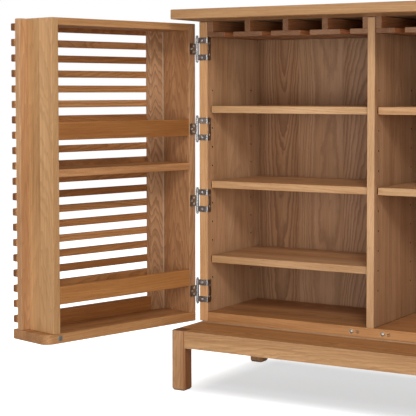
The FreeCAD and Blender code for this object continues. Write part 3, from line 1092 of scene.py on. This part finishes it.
@dataclass(frozen=True)
class HingeRow:
    """The four wrap-round hinges of one door, drawn for the left side about their pin.

    Each hinge has a fixed leaf of two straps and an inner plate, a moving leaf on the door's edge and a
    loose pin with ball ends. X runs to the middle of the cabinet and Y to its back.
    """

    side: Side
    pivot: Vector
    rest_turn: float
    levels: tuple[float, ...] = (0.241, 0.483, 0.674, 0.886)
    height: float = 0.060
    strap_height: float = 0.015
    board_face: float = 0.0015
    board_near: float = 0.0055
    board_far: float = 0.0305
    leaf_thickness: float = 0.0016
    bend_radius: float = 0.0034
    bend_cuts: int = 5
    plate_depth: float = 0.016
    plate_corner: float = 0.003
    plate_corner_cuts: int = 7
    window_depth: float = 0.004
    window_cuts: int = 9
    knuckle_radius: float = 0.00425
    knuckle_gap: float = 0.0003
    knuckle_facets: int = 28
    rim_ease: float = 0.00035
    pin_radius: float = 0.0024
    ball_radius: float = 0.0035
    ball_cuts: int = 12
    door_leaf_thickness: float = 0.0013
    door_leaf_reach: float = 0.0255
    door_leaf_corner: float = 0.0016
    door_leaf_corner_cuts: int = 4
    strap_screw_inset: float = 0.009
    plate_screw_depth: float = 0.0076
    plate_screw_spread: float = 0.015
    door_screw_near: float = 0.007
    door_screw_far: float = 0.014
    door_screw_spread: float = 0.008

    def at_level(self, level: float) -> Matrix:
        """The place of a fixed hinge part at one level."""
        return Matrix.Translation(self.pivot + Vector((0.0, 0.0, level))) @ self.side.mirror()

    def on_door(self, level: float) -> Matrix:
        """The place of a door part at one level, with the door turned to its rest angle."""
        return self.at_level(level) @ Matrix.Rotation(self.rest_turn, 4, "Z")

    def half(self) -> float:
        """Half the hinge's height."""
        return self.height / 2.0

    def inner_half(self) -> float:
        """Half the height of the opening between the straps."""
        return self.half() - self.strap_height

    def strap_face(self) -> float:
        """Y of the straps' outer face."""
        return self.board_face - self.leaf_thickness

    def plate_face(self) -> float:
        """X of the inner plate's outer face."""
        return self.board_far + self.leaf_thickness

    def bend_start(self) -> float:
        """Where the straps begin to turn round the board's corner, from the pin."""
        return self.plate_face() - self.bend_radius

    def bend_arc(self) -> float:
        """Length of the sheet in the bend."""
        return self.bend_radius * QUARTER_TURN

    def fold(self, vert: bmesh.types.BMVert) -> None:
        """Moves one point of the flat leaf to its place on the folded one.

        Args:
            vert: A point whose X is its distance along the sheet and whose Z is its height.
        """
        run = vert.co.x - self.bend_start()
        if run <= 0.0:
            vert.co.y = self.strap_face()
        elif run < self.bend_arc():
            angle = run / self.bend_radius
            vert.co.x = self.bend_start() + self.bend_radius * math.sin(angle)
            vert.co.y = self.strap_face() + self.bend_radius * (1.0 - math.cos(angle))
        else:
            vert.co.x = self.plate_face()
            vert.co.y = self.strap_face() + self.bend_radius + run - self.bend_arc()

    def flat_leaf(self) -> Shape:
        """The fixed leaf as a flat blank: X along the sheet from the pin, Z up.

        Returns:
            A new bmesh of one sheet, cut across at the bend.
        """
        half, inner = self.half(), self.inner_half()
        corner = self.bend_start() + self.bend_arc()
        end = corner + self.board_face + self.plate_depth - self.strap_face() - self.bend_radius
        outline = [(0.0, inner)]
        for step in range(self.window_cuts + 1):
            share = 1.0 - 2.0 * step / self.window_cuts
            outline.append((corner + self.window_depth * (1.0 - share ** 2), inner * share))
        outline += [(0.0, -inner), (0.0, -half), (end, -half), (end, half), (0.0, half)]
        sheet = bmesh.new()
        sheet.faces.new([sheet.verts.new((x, 0.0, z)) for x, z in outline])
        ends = [vert for vert in sheet.verts if vert.co.x > end - self.rim_ease]
        bmesh.ops.bevel(sheet, geom=ends, offset=self.plate_corner, offset_type="OFFSET",
                        segments=self.plate_corner_cuts, profile=0.5, affect="VERTICES", material=-1)
        bmesh.ops.triangulate(sheet, faces=sheet.faces)
        for step in range(self.bend_cuts + 1):
            place = self.bend_start() + self.bend_arc() * step / self.bend_cuts
            bmesh.ops.bisect_plane(sheet, geom=sheet.verts[:] + sheet.edges[:] + sheet.faces[:],
                                   plane_co=(place, 0, 0), plane_no=(1, 0, 0))
        return sheet

    def knuckle(self, low: float, high: float) -> Shape:
        """One rolled knuckle between two heights, with eased rims.

        Args:
            low: Height of its lower end.
            high: Height of its upper end.

        Returns:
            A new closed bmesh.
        """
        wide, ease = self.knuckle_radius, self.rim_ease
        profile = [(0.0, low), (wide - ease, low), (wide, low + ease), (wide, high - ease),
                   (wide - ease, high), (0.0, high)]
        return turned(profile, self.knuckle_facets)

    def fixed_leaf(self) -> Shape:
        """Fixed leaf: the folded sheet and its two knuckles.

        Returns:
            A new bmesh about the hinge's middle.
        """
        leaf = self.flat_leaf()
        for vert in leaf.verts:
            self.fold(vert)
        leaf.normal_update()
        bmesh.ops.solidify(leaf, geom=leaf.faces[:], thickness=self.leaf_thickness)
        bmesh.ops.recalc_face_normals(leaf, faces=leaf.faces)
        for low, high in ((-self.half(), -self.inner_half()), (self.inner_half(), self.half())):
            add_shape(leaf, self.knuckle(low, high), Matrix())
        return leaf

    def moving_leaf(self) -> Shape:
        """Moving leaf: a square plate with eased corners and the middle knuckle.

        Returns:
            A new bmesh about the hinge's middle, with the door closed.
        """
        half = self.inner_half() - self.knuckle_gap
        reach, thickness = self.door_leaf_reach, self.door_leaf_thickness
        leaf = bmesh.new()
        bmesh.ops.create_cube(leaf, size=1.0)
        bmesh.ops.scale(leaf, vec=(reach, thickness, half * 2.0), verts=leaf.verts)
        middle = (reach / 2.0, -self.board_face + thickness / 2.0, 0.0)
        bmesh.ops.translate(leaf, vec=middle, verts=leaf.verts)
        outer = [edge for edge in leaf.edges if edge.calc_length() < self.board_near
                 and all(vert.co.x > self.board_near for vert in edge.verts)]
        bmesh.ops.bevel(leaf, geom=outer, offset=self.door_leaf_corner, segments=self.door_leaf_corner_cuts,
                        profile=0.5, affect="EDGES", material=-1)
        add_shape(leaf, self.knuckle(-half, half), Matrix())
        return leaf

    def pin(self) -> Shape:
        """Loose pin with a ball on each end.

        Returns:
            A new bmesh about the hinge's middle.
        """
        middle = self.half() + math.sqrt(self.ball_radius ** 2 - self.pin_radius ** 2)
        start = math.asin(self.pin_radius / self.ball_radius)
        ball = []
        for step in range(self.ball_cuts + 1):
            angle = start + (math.pi - start) * step / self.ball_cuts
            ball.append((self.ball_radius * math.sin(angle), middle - self.ball_radius * math.cos(angle)))
        ball[-1] = (0.0, ball[-1][1])
        profile = [(radius, -height) for radius, height in reversed(ball)] + ball
        return turned(profile, self.knuckle_facets)

    def fixed_screw_places(self) -> Iterable[Matrix]:
        """The places of a fixed leaf's screws: one in each strap and two in the plate.

        Returns:
            The places about the hinge's middle.
        """
        strap_level = self.half() - self.strap_height / 2.0
        strap_x = self.board_near + self.strap_screw_inset
        plate_y = self.board_face + self.plate_screw_depth
        for way in (-1.0, 1.0):
            strap = Matrix.Translation((strap_x, self.strap_face(), way * strap_level))
            yield strap @ Matrix.Rotation(QUARTER_TURN, 4, "X")
            plate = Matrix.Translation((self.plate_face(), plate_y, way * self.plate_screw_spread))
            yield plate @ Matrix.Rotation(QUARTER_TURN, 4, "Y")

    def door_screw_places(self) -> Iterable[Matrix]:
        """The places of a moving leaf's three screws, with the door closed.

        Returns:
            The places about the hinge's middle.
        """
        backward = Matrix.Rotation(-QUARTER_TURN, 4, "X")
        face = -self.board_face + self.door_leaf_thickness
        near, far, spread = self.door_screw_near, self.door_screw_far, self.door_screw_spread
        for inset, lift in ((near, spread), (near, -spread), (far, 0.0)):
            yield Matrix.Translation((self.board_near + inset, face, lift)) @ backward

    def build(self) -> None:
        """Makes this side's leaves, pins and door screws."""
        side = self.side.value
        door = side + "_door"
        fixed = [self.at_level(level) for level in self.levels]
        moving = [self.on_door(level) for level in self.levels]
        nickel = HINGE_NICKEL.material()
        leaves = Fitting(side + "_hinge_fixed_leaves", "cabinet", side + "_frame_leaves", "hinge_steel")
        leaves.place(copies(self.fixed_leaf(), fixed), nickel)
        pins = Fitting(side + "_hinge_ball_pins", "cabinet", side + "_hinge_pins", "hinge_steel")
        pins.place(copies(self.pin(), fixed), nickel)
        moving_leaves = Fitting(side + "_hinge_door_leaves", door, door + "_hinge_leaves", "hinge_steel")
        moving_leaves.place(copies(self.moving_leaf(), moving), nickel)
        screws = [place @ screw for place in moving for screw in self.door_screw_places()]
        door_screws = Fitting(side + "_hinge_door_screws", door, door + "_hinge_screws", "screw_steel")
        door_screws.place(copies(Screw().shape(), screws), SCREW_STEEL.material())

    def fixed_screws(self) -> list[Matrix]:
        """The places of every screw that holds this side's fixed leaves."""
        return [self.at_level(level) @ screw for level in self.levels for screw in self.fixed_screw_places()]


@dataclass(frozen=True)
class Catches:
    """Magnets and clear bumpers on the bottom's front edge, and the steel discs that the magnets hold."""

    front: float
    level: float = 0.1725
    magnet_places: tuple[float, float] = (-0.0515, 0.0345)
    bumper_places: tuple[float, float] = (-0.0345, 0.0515)
    magnet_radius: float = 0.006
    magnet_depth: float = 0.010
    cup_wall: float = 0.0008
    cup_gap: float = 0.0004
    cup_lip_share: float = 0.18
    dome: float = 0.002
    dome_cuts: int = 6
    bumper_radius: float = 0.005
    bumper_height: float = 0.0024
    bumper_round: float = 0.0009
    bumper_cuts: int = 5
    dish_radius: float = 0.0025
    dish_depth: float = 0.001
    strike_radius: float = 0.007
    strike_depth: float = 0.0015
    strike_proud: float = 0.0005
    strike_ease_share: float = 0.6
    door_gap: float = 0.003
    facets: int = 40

    def facing_front(self, x: float) -> Matrix:
        """The place of a catch on the bottom's front edge, facing forward."""
        return Matrix.Translation((x, self.front, self.level)) @ Matrix.Rotation(QUARTER_TURN, 4, "X")

    def facing_back(self, row: HingeRow, x: float) -> Matrix:
        """The place of a disc on a door that stands open, facing the cabinet's side.

        Args:
            row: The door's hinges, which say how it stands.
            x: Where the disc is with the door closed.

        Returns:
            The disc's place.
        """
        closed = Matrix.Translation((x, self.front - self.door_gap, self.level))
        pivot = Matrix.Translation(row.pivot)
        opened = pivot @ Matrix.Rotation(row.rest_turn * row.side.sign(), 4, "Z") @ pivot.inverted()
        return opened @ closed @ Matrix.Rotation(-QUARTER_TURN, 4, "X")

    def magnet(self) -> Shape:
        """Domed magnet in a thin steel cup.

        Returns:
            A new bmesh with its face towards +Z.
        """
        outer = self.magnet_radius
        wall = outer - self.cup_wall
        inner = wall - self.cup_gap
        lip = self.dome * self.cup_lip_share
        profile = [(0.0, -self.magnet_depth), (outer, -self.magnet_depth), (outer, lip * 0.5),
                   (outer - self.cup_wall * 0.5, lip), (wall, lip * 0.5), (wall, -self.cup_gap),
                   (inner, -self.cup_gap)]
        for step in range(self.dome_cuts + 1):
            angle = step / self.dome_cuts * QUARTER_TURN
            profile.append((inner * math.cos(angle), self.dome * math.sin(angle)))
        profile[-1] = (0.0, self.dome)
        return turned(profile, self.facets)

    def bumper(self) -> Shape:
        """Round bumper with a rounded shoulder and a dished middle.

        Returns:
            A new bmesh with its face towards +Z.
        """
        profile = [(0.0, 0.0), (self.bumper_radius, 0.0)]
        shoulder = self.bumper_radius - self.bumper_round
        steps = range(self.bumper_cuts + 1)
        for step in steps:
            angle = QUARTER_TURN * step / self.bumper_cuts
            profile.append((shoulder + self.bumper_round * math.cos(angle),
                            self.bumper_height - self.bumper_round * (1.0 - math.sin(angle))))
        for step in steps:
            share = 1.0 - step / self.bumper_cuts
            sunk = self.dish_depth * (1.0 - share * share)
            profile.append((self.dish_radius * share, self.bumper_height - sunk))
        return turned(profile, self.facets)

    def strike(self) -> Shape:
        """Steel disc with an eased rim.

        Returns:
            A new bmesh with its face towards +Z and the door's face at the origin.
        """
        wide, proud = self.strike_radius, self.strike_proud
        ease = proud * self.strike_ease_share
        profile = [(0.0, -self.strike_depth), (wide, -self.strike_depth), (wide, proud - ease),
                   (wide - ease, proud), (0.0, proud)]
        return turned(profile, self.facets)

    def build(self, hinges: Sequence[HingeRow]) -> None:
        """Makes the catches on the cabinet and on both doors.

        Args:
            hinges: The hinge rows of the left and right door, which say how the doors stand open.
        """
        magnets = Fitting("catch_magnets", "cabinet", "door_magnets", "catch_steel")
        magnet_pair = copies(self.magnet(), map(self.facing_front, self.magnet_places))
        magnets.place(magnet_pair, CATCH_STEEL.material())
        bumpers = Fitting("catch_bumpers", "cabinet", "door_bumpers", "bumper_plastic")
        bumper_pair = copies(self.bumper(), map(self.facing_front, self.bumper_places))
        bumpers.place(bumper_pair, CLEAR_PLASTIC.material())
        for row, x in zip(hinges, self.magnet_places):
            door = row.side.value + "_door"
            fitting = Fitting(row.side.value + "_catch_strike", door, door + "_strike", "catch_steel")
            fitting.place(copies(self.strike(), [self.facing_back(row, x)]), STRIKE_STEEL.material())


class Woodwork:
    """A sub-assembly of boards that are all of the case's wood."""

    def boards(self) -> list[Board]:
        """The boards, in the order in which they are dressed."""
        raise NotImplementedError

    def dress(self) -> None:
        """Lays the wood on every board."""
        for board in self.boards():
            CASE_WOOD.dress(board)


@dataclass(frozen=True)
class Carcass(Woodwork):
    """Top, sides, divider, bottom, back and spacer."""

    board_stave: float = 0.095
    back_leaf: float = 0.140
    top_tint: Tint = (0.97, 0.95, 0.87)
    bottom_tint: Tint = (1.15, 0.95, 0.74)
    bottom_lip_tint: Tint = (1.08, 0.93, 0.72)
    spacer_tint: Tint = (0.97, 1.06, 1.18)
    side_tint: Tint = (1.40, 1.46, 1.62)
    side_lip_tint: Tint = (1.41, 1.43, 1.40)
    divider_tint: Tint = (1.12, 1.20, 1.38)
    divider_lip_tint: Tint = (1.22, 1.30, 1.36)
    back_tint: Tint = (0.91, 0.88, 0.90)
    # inner_painted_shade and top_painted_shade: strength of the painted shade in the carcass's corners and
    # under the top
    inner_painted_shade: float = 0.30
    top_painted_shade: float = 0.72

    def boards(self) -> list[Board]:
        """The boards of the carcass.

        Returns:
            The boards, in the order in which they are dressed.
        """
        x, y, z = (axis.vector() for axis in Axis)
        side = Board("left_side_panel", z, y, self.board_stave, self.side_tint, FAINT_FIGURE, drilled=True,
                     lip=LipAndSideLight(y, self.side_lip_tint), shade=self.inner_painted_shade)
        return [
            Board("top_panel", x, y, self.board_stave, self.top_tint, QUIET_FIGURE, shade=self.top_painted_shade),
            Board("carcass_spacer", x, y, WHOLE_STAVE, self.spacer_tint, QUIET_FIGURE),
            Board("bottom_panel", x, y, self.board_stave, self.bottom_tint, QUIET_FIGURE,
                  lip=LipAndSideLight(y, self.bottom_lip_tint), shade=self.inner_painted_shade),
            side,
            replace(side, node="right_side_panel"),
            replace(side, node="centre_divider", tint=self.divider_tint, lip=LipAndSideLight(y, self.divider_lip_tint)),
            Board("back_panel", z, x, self.back_leaf, self.back_tint, PLAIN_FIGURE, shade=self.inner_painted_shade),
        ]


@dataclass(frozen=True)
class LegBase(Woodwork):
    """Legs, rails and deck under the carcass."""

    deck_stave: float = 0.110
    leg_tint: Tint = (1.12, 1.08, 1.06)
    # painted shade: darker tint on the legs' side faces
    leg_side_painted_shade: Tint = (0.80, 0.56, 0.41)
    rail_tint: Tint = (1.20, 1.18, 1.10)
    deck_tint: Tint = (0.98, 0.82, 0.58)

    def boards(self) -> list[Board]:
        """The legs, the rails and the deck.

        Returns:
            The boards, in the order in which they are dressed.
        """
        x, y, z = (axis.vector() for axis in Axis)
        boards = []
        for end in ("front", "rear"):
            boards.append(Board(end + "_base_rail", x, z, WHOLE_STAVE, self.rail_tint))
            for side in Side:
                leg = "_".join((end, side.value, "leg"))
                # the legs' side faces take a darker tint: painted shade on those sides
                boards.append(Board(leg, z, x, WHOLE_STAVE, self.leg_tint, lip=LipAndSideLight(x, self.leg_side_painted_shade)))
        for side in Side:
            boards.append(Board(side.value + "_base_rail", y, z, WHOLE_STAVE, self.rail_tint))
        return boards + [Board("deck_panel", x, y, self.deck_stave, self.deck_tint)]


@dataclass(frozen=True)
class Shelving(Woodwork):
    """Loose shelves and their hidden pins."""

    low_shelf: str = "left_shelf_lower"
    shelves: tuple[str, ...] = (
        "left_shelf_middle", "left_shelf_upper", "right_shelf_middle", "right_shelf_upper")
    stave: float = 0.085
    tint: Tint = (1.31, 1.31, 1.31)
    lip_tint: Tint = (1.18, 1.19, 1.15)
    low_lip_tint: Tint = (1.00, 0.97, 0.88)
    # inner_painted_shade: strength of the painted shade in the shelves' corners
    inner_painted_shade: float = 0.25

    def boards(self) -> list[Board]:
        """The shelves.

        Returns:
            The boards, in the order in which they are dressed.
        """
        x, y = Axis.X.vector(), Axis.Y.vector()
        low = Board(self.low_shelf, x, y, self.stave, self.tint, SHELF_FIGURE, lip=LipAndSideLight(y, self.low_lip_tint),
                    shade=self.inner_painted_shade)
        return [low] + [replace(low, node=node, lip=LipAndSideLight(y, self.lip_tint)) for node in self.shelves]

    def dress(self) -> None:
        """Lays the wood on the shelves and plates the pins."""
        super().dress()
        coat("shelf_pins", PIN_STEEL.material())


@dataclass(frozen=True)
class StemRack(Woodwork):
    """The rails of one bay's stemware rack, each of its own piece of wood."""

    side: Side
    pitch: float = 0.1125
    tint: Tint = (0.65, 0.56, 0.55)
    # painted light: paler tint on the side faces in the rack's hollows
    flank_painted_light: Tint = (1.30, 0.98, 0.86)

    def boards(self) -> list[Board]:
        """The stems and the flanges.

        Returns:
            The boards, in the order in which they are dressed.
        """
        x, y = Axis.X.vector(), Axis.Y.vector()
        boards = []
        for part in ("stems", "flanges"):
            node = "_".join((self.side.value, "rack", part))
            # the stems' and flanges' side faces take a paler tint: painted light in the rack's hollows
            board = Board(node, y, x, self.pitch, self.tint, RACK_FIGURE, lip=LipAndSideLight(x, self.flank_painted_light))
            low, high = board.reach(board.across)
            rails = round((high - low) / self.pitch)
            boards.append(replace(board, start=(high - low - self.pitch * (rails + 1)) / 2.0))
        return boards


@dataclass(frozen=True)
class BoxDoor(Woodwork):
    """One deep door: its box, the frame of its front and the slats across it."""

    side: Side
    rest_turn: float
    stave: float = 0.105
    slat_pitch: float = 0.038
    slat_height: float = 0.018
    rail_cell: float = 0.40
    rail_start: float = -0.95
    free_stave: float = 0.058
    hinge_panel_tint: Tint = (1.08, 1.03, 1.02)
    # hinge_lip_tint: painted light that lightens the hinge panel's front edge
    hinge_lip_tint: Tint = (1.18, 1.23, 1.34)
    free_panel_tint: Tint = (1.15, 1.11, 0.99)
    free_lip_tint: Tint = (1.03, 0.98, 0.85)
    hinge_stile_tint: Tint = (1.16, 1.12, 1.15)
    hinge_stile_lip_tint: Tint = (1.02, 0.95, 0.92)
    hinge_stile_start: float = 0.0005
    free_stile_tint: Tint = (1.42, 1.44, 1.50)
    joint_line: PaleLine = PaleLine(0.0252, 0.0036, 0.80, (0.74, 0.56, 0.40, 1.0))
    # inner_painted_shade: strength of the painted shade in the door's inside corners
    inner_painted_shade: float = 0.22
    board_tint: Tint = (1.06, 0.92, 0.74)
    shelf_lip_tint: Tint = (1.25, 1.12, 1.00)
    rail_tint: Tint = (0.93, 0.69, 0.42)
    slat_tint: Tint = (1.04, 0.84, 0.62)

    def opened(self, direction: Vector) -> Vector:
        """A direction on the closed left door, as it is on this door where it stands open."""
        return self.side.mirror().to_3x3() @ Matrix.Rotation(self.rest_turn, 3, "Z") @ direction

    def boards(self) -> list[Board]:
        """The boards of the door.

        Returns:
            The boards, in the order in which they are dressed.
        """
        door = self.side.value + "_door_"
        up, across, through = Axis.Z.vector(), self.opened(Axis.X.vector()), self.opened(-Axis.Y.vector())
        flat = Board(door + "top_board", across, through, self.stave, self.board_tint, BOARD_FIGURE,
                     lip=LipAndSideLight(through, self.board_tint))
        rails = Board(door + "bottle_rails", across, up, self.rail_cell, self.rail_tint, QUIET_FIGURE,
                      self.rail_start)
        first_slat = (self.slat_height - self.slat_pitch) / 2.0
        return [
            Board(door + "hinge_panel", up, through, self.stave, self.hinge_panel_tint, STRONG_FIGURE,
                  lip=LipAndSideLight(through, self.hinge_lip_tint), shade=self.inner_painted_shade),
            Board(door + "free_panel", up, through, self.free_stave, self.free_panel_tint, ARCHED_FIGURE,
                  lip=LipAndSideLight(through, self.free_lip_tint)),
            Board(door + "hinge_stile", up, across, self.stave, self.hinge_stile_tint, FLAMED_FIGURE,
                  self.hinge_stile_start, lip=LipAndSideLight(across, self.hinge_stile_lip_tint), pale_line=self.joint_line,
                  shade=self.inner_painted_shade),
            Board(door + "free_stile", up, across, self.stave, self.free_stile_tint, STREAKED_FIGURE),
            flat,
            replace(flat, node=door + "shelf", lip=LipAndSideLight(through, self.shelf_lip_tint)),
            replace(flat, node=door + "bottom_board"),
            rails,
            replace(rails, node=door + "frame_rails"),
            Board(door + "slats", across, up, self.slat_pitch, self.slat_tint, SLAT_FIGURE, first_slat),
        ]


@dataclass(frozen=True)
class PanelLight:
    """One square soft light: its name, its place, the length of its side and its power in watts."""

    name: str
    place: Place
    size: float
    power: float

    def hang(self, target: Place) -> None:
        """Makes the light.

        Args:
            target: The place that it points at.
        """
        data = bpy.data.lights.new(self.name, "AREA")
        data.size = self.size
        data.energy = self.power
        light = bpy.data.objects.new(self.name, data)
        light.location = self.place
        light.rotation_euler = (Vector(target) - Vector(self.place)).to_track_quat("-Z", "Y").to_euler()
        bpy.context.scene.collection.objects.link(light)


@dataclass(frozen=True)
class Studio:
    """Pale floor, soft light and the camera at the photograph's viewing angle."""

    camera_place: Place = (1.34569, -2.847371, 0.77838)
    camera_yaw: float = math.radians(29.98)
    camera_pitch: float = math.radians(3.06)
    camera_reach: float = 60.0
    focal_pixels: float = 1300.4
    frame_pixels: float = 416.0
    axis_pixel: tuple[float, float] = (249.54, 159.17)
    sensor: float = 36.0
    floor_reach: float = 14.0
    floor_roughness: float = 0.9
    floor_sheen: float = 0.1
    target: Place = (0.0, 0.10, 0.50)
    # painted shadow: a grey patch on the floor under the armoire, with darker paint and less glow
    painted_shadow_middle: tuple[float, float] = (0.0, 0.20)
    painted_shadow_half: tuple[float, float] = (0.49, 0.245)
    painted_shadow_fade: float = 0.075
    painted_shadow_glow: float = 0.595
    painted_shadow_paint: Colour = (0.27, 0.28, 0.29, 1.0)
    far_glow: float = 1.0
    far_paint: Colour = (0.74, 0.77, 0.80, 1.0)
    ambient: float = 0.06
    backdrop: float = 1.0
    panels: tuple[PanelLight, ...] = (
        PanelLight("right_light", (2.8, -3.6, 0.9), 2.0, 56.0),
        PanelLight("high_light", (1.5, -2.7, 2.7), 0.9, 52.0),
        PanelLight("left_light", (-2.6, -3.6, 1.1), 2.0, 19.0),
        PanelLight("low_light", (-0.5, -4.2, 0.5), 1.0, 33.0),
        PanelLight("top_light", (0.0, 0.2, 3.6), 2.4, 32.0),
        PanelLight("left_side_light", (-4.0, 0.3, 1.6), 2.0, 28.0),
        PanelLight("right_side_light", (4.0, 0.6, 1.6), 2.0, 22.0),
        PanelLight("back_light", (0.4, 4.2, 1.9), 2.6, 75.0),
    )

    def camera(self) -> None:
        """Makes the camera, with its shift for the photograph's framing."""
        data = bpy.data.cameras.new("camera")
        data.sensor_width = self.sensor
        data.lens = self.focal_pixels * self.sensor / self.frame_pixels
        data.shift_x = 0.5 - self.axis_pixel[0] / self.frame_pixels
        data.shift_y = self.axis_pixel[1] / self.frame_pixels - 0.5
        data.clip_end = self.camera_reach
        camera = bpy.data.objects.new("camera", data)
        camera.location = self.camera_place
        camera.rotation_euler = (QUARTER_TURN - self.camera_pitch, 0.0, self.camera_yaw)
        bpy.context.scene.collection.objects.link(camera)
        bpy.context.scene.camera = camera

    def floor(self) -> None:
        """Makes the pale floor, with a painted shadow under the armoire, which glows to white away from it.
        """
        sheet = bmesh.new()
        bmesh.ops.create_grid(sheet, x_segments=1, y_segments=1, size=self.floor_reach)
        mesh = bpy.data.meshes.new("floor")
        sheet.to_mesh(mesh)
        sheet.free()
        mesh.materials.append(self.floor_material())
        floor = bpy.data.objects.new("floor", mesh)
        bpy.context.scene.collection.objects.link(floor)

    def floor_material(self) -> bpy.types.Material:
        """The floor's paint: a painted grey shadow under the armoire, and white beyond it as the backdrop
        is.

        Returns:
            The material.
        """
        material, bench = NodeBench.of_material("pale_floor")
        spots = bench.parts(bench.add("ShaderNodeTexCoord").outputs["Object"])
        shadow_patch = 1.0
        for spot, middle, half in zip(spots, self.painted_shadow_middle, self.painted_shadow_half):
            away = bench.size(bench.minus(spot, middle))
            outside = bench.ease(away, (half - self.painted_shadow_fade, half + self.painted_shadow_fade))
            shadow_patch = bench.times(bench.inverse(outside), shadow_patch)
        seen = bench.add("ShaderNodeLightPath").outputs["Is Camera Ray"]
        # the painted shadow's patch glows less and is painted darker
        glow = bench.total(self.far_glow, bench.times(shadow_patch, self.painted_shadow_glow - self.far_glow))
        bench.surface({
            "Base Color": bench.blend(shadow_patch, self.far_paint, self.painted_shadow_paint),
            "Roughness": self.floor_roughness,
            "Specular IOR Level": self.floor_sheen,
            "Emission Color": WHITE,
            "Emission Strength": bench.times(seen, glow),
        })
        return material

    def surround(self) -> None:
        """Sets the world: a white backdrop for the camera, and a little light all round."""
        world = bpy.data.worlds.new("surround")
        world.use_nodes = True
        bench = NodeBench(world.node_tree)
        inputs = {0: bench.add("ShaderNodeLightPath").outputs["Is Camera Ray"]}
        for number, strength in enumerate((self.ambient, self.backdrop), start=1):
            light = bench.add("ShaderNodeBackground", {"Color": WHITE, "Strength": strength})
            inputs[number] = light.outputs["Background"]
        mixed = bench.add("ShaderNodeMixShader", inputs)
        bench.add("ShaderNodeOutputWorld", {"Surface": mixed.outputs["Shader"]})
        bpy.context.scene.world = world
        bpy.context.scene.view_settings.view_transform = "Standard"

    def build(self) -> None:
        """Sets up the floor, the lights, the surround and the camera."""
        self.floor()
        for panel in self.panels:
            panel.hang(self.target)
        self.surround()
        self.camera()


def clear_scene() -> None:
    """Takes out whatever Blender starts with."""
    for item in list(bpy.data.objects):
        bpy.data.objects.remove(item)


def build_side(side: Side, joint: dict[str, Any]) -> HingeRow:
    """Builds one door's hinges, and dresses the door and the rack of its bay.

    Args:
        side: The side.
        joint: The frame's row for the door's joint.

    Returns:
        The door's hinges.
    """
    rest_turn = math.radians(joint["range_deg"][0])
    place = joint["pos_m"]
    row = HingeRow(side, Vector((place[0], place[1], 0.0)), rest_turn)
    row.build()
    BoxDoor(side, rest_turn).dress()
    StemRack(side).dress()
    return row


def main() -> None:
    """Dresses the frame, adds the hardware and the studio, and notes the sizes."""
    logging.basicConfig(level=logging.INFO, format="%(name)s: %(message)s")
    clear_scene()
    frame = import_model()
    joints = {joint["child"]: joint for joint in frame["joints"]}
    hinges = [build_side(side, joints[side.value + "_door"]) for side in Side]
    fixed_screws = Fitting("hinge_fixed_screws", "cabinet", "frame_screws", "screw_steel")
    screw_places = [place for row in hinges for place in row.fixed_screws()]
    fixed_screws.place(copies(Screw().shape(), screw_places), SCREW_STEEL.material())
    Carcass().dress()
    LegBase().dress()
    Shelving().dress()
    Catches(front=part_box("centre_divider")[0].y).build(hinges)
    Studio().build()


if __name__ == "__main__":
    main()
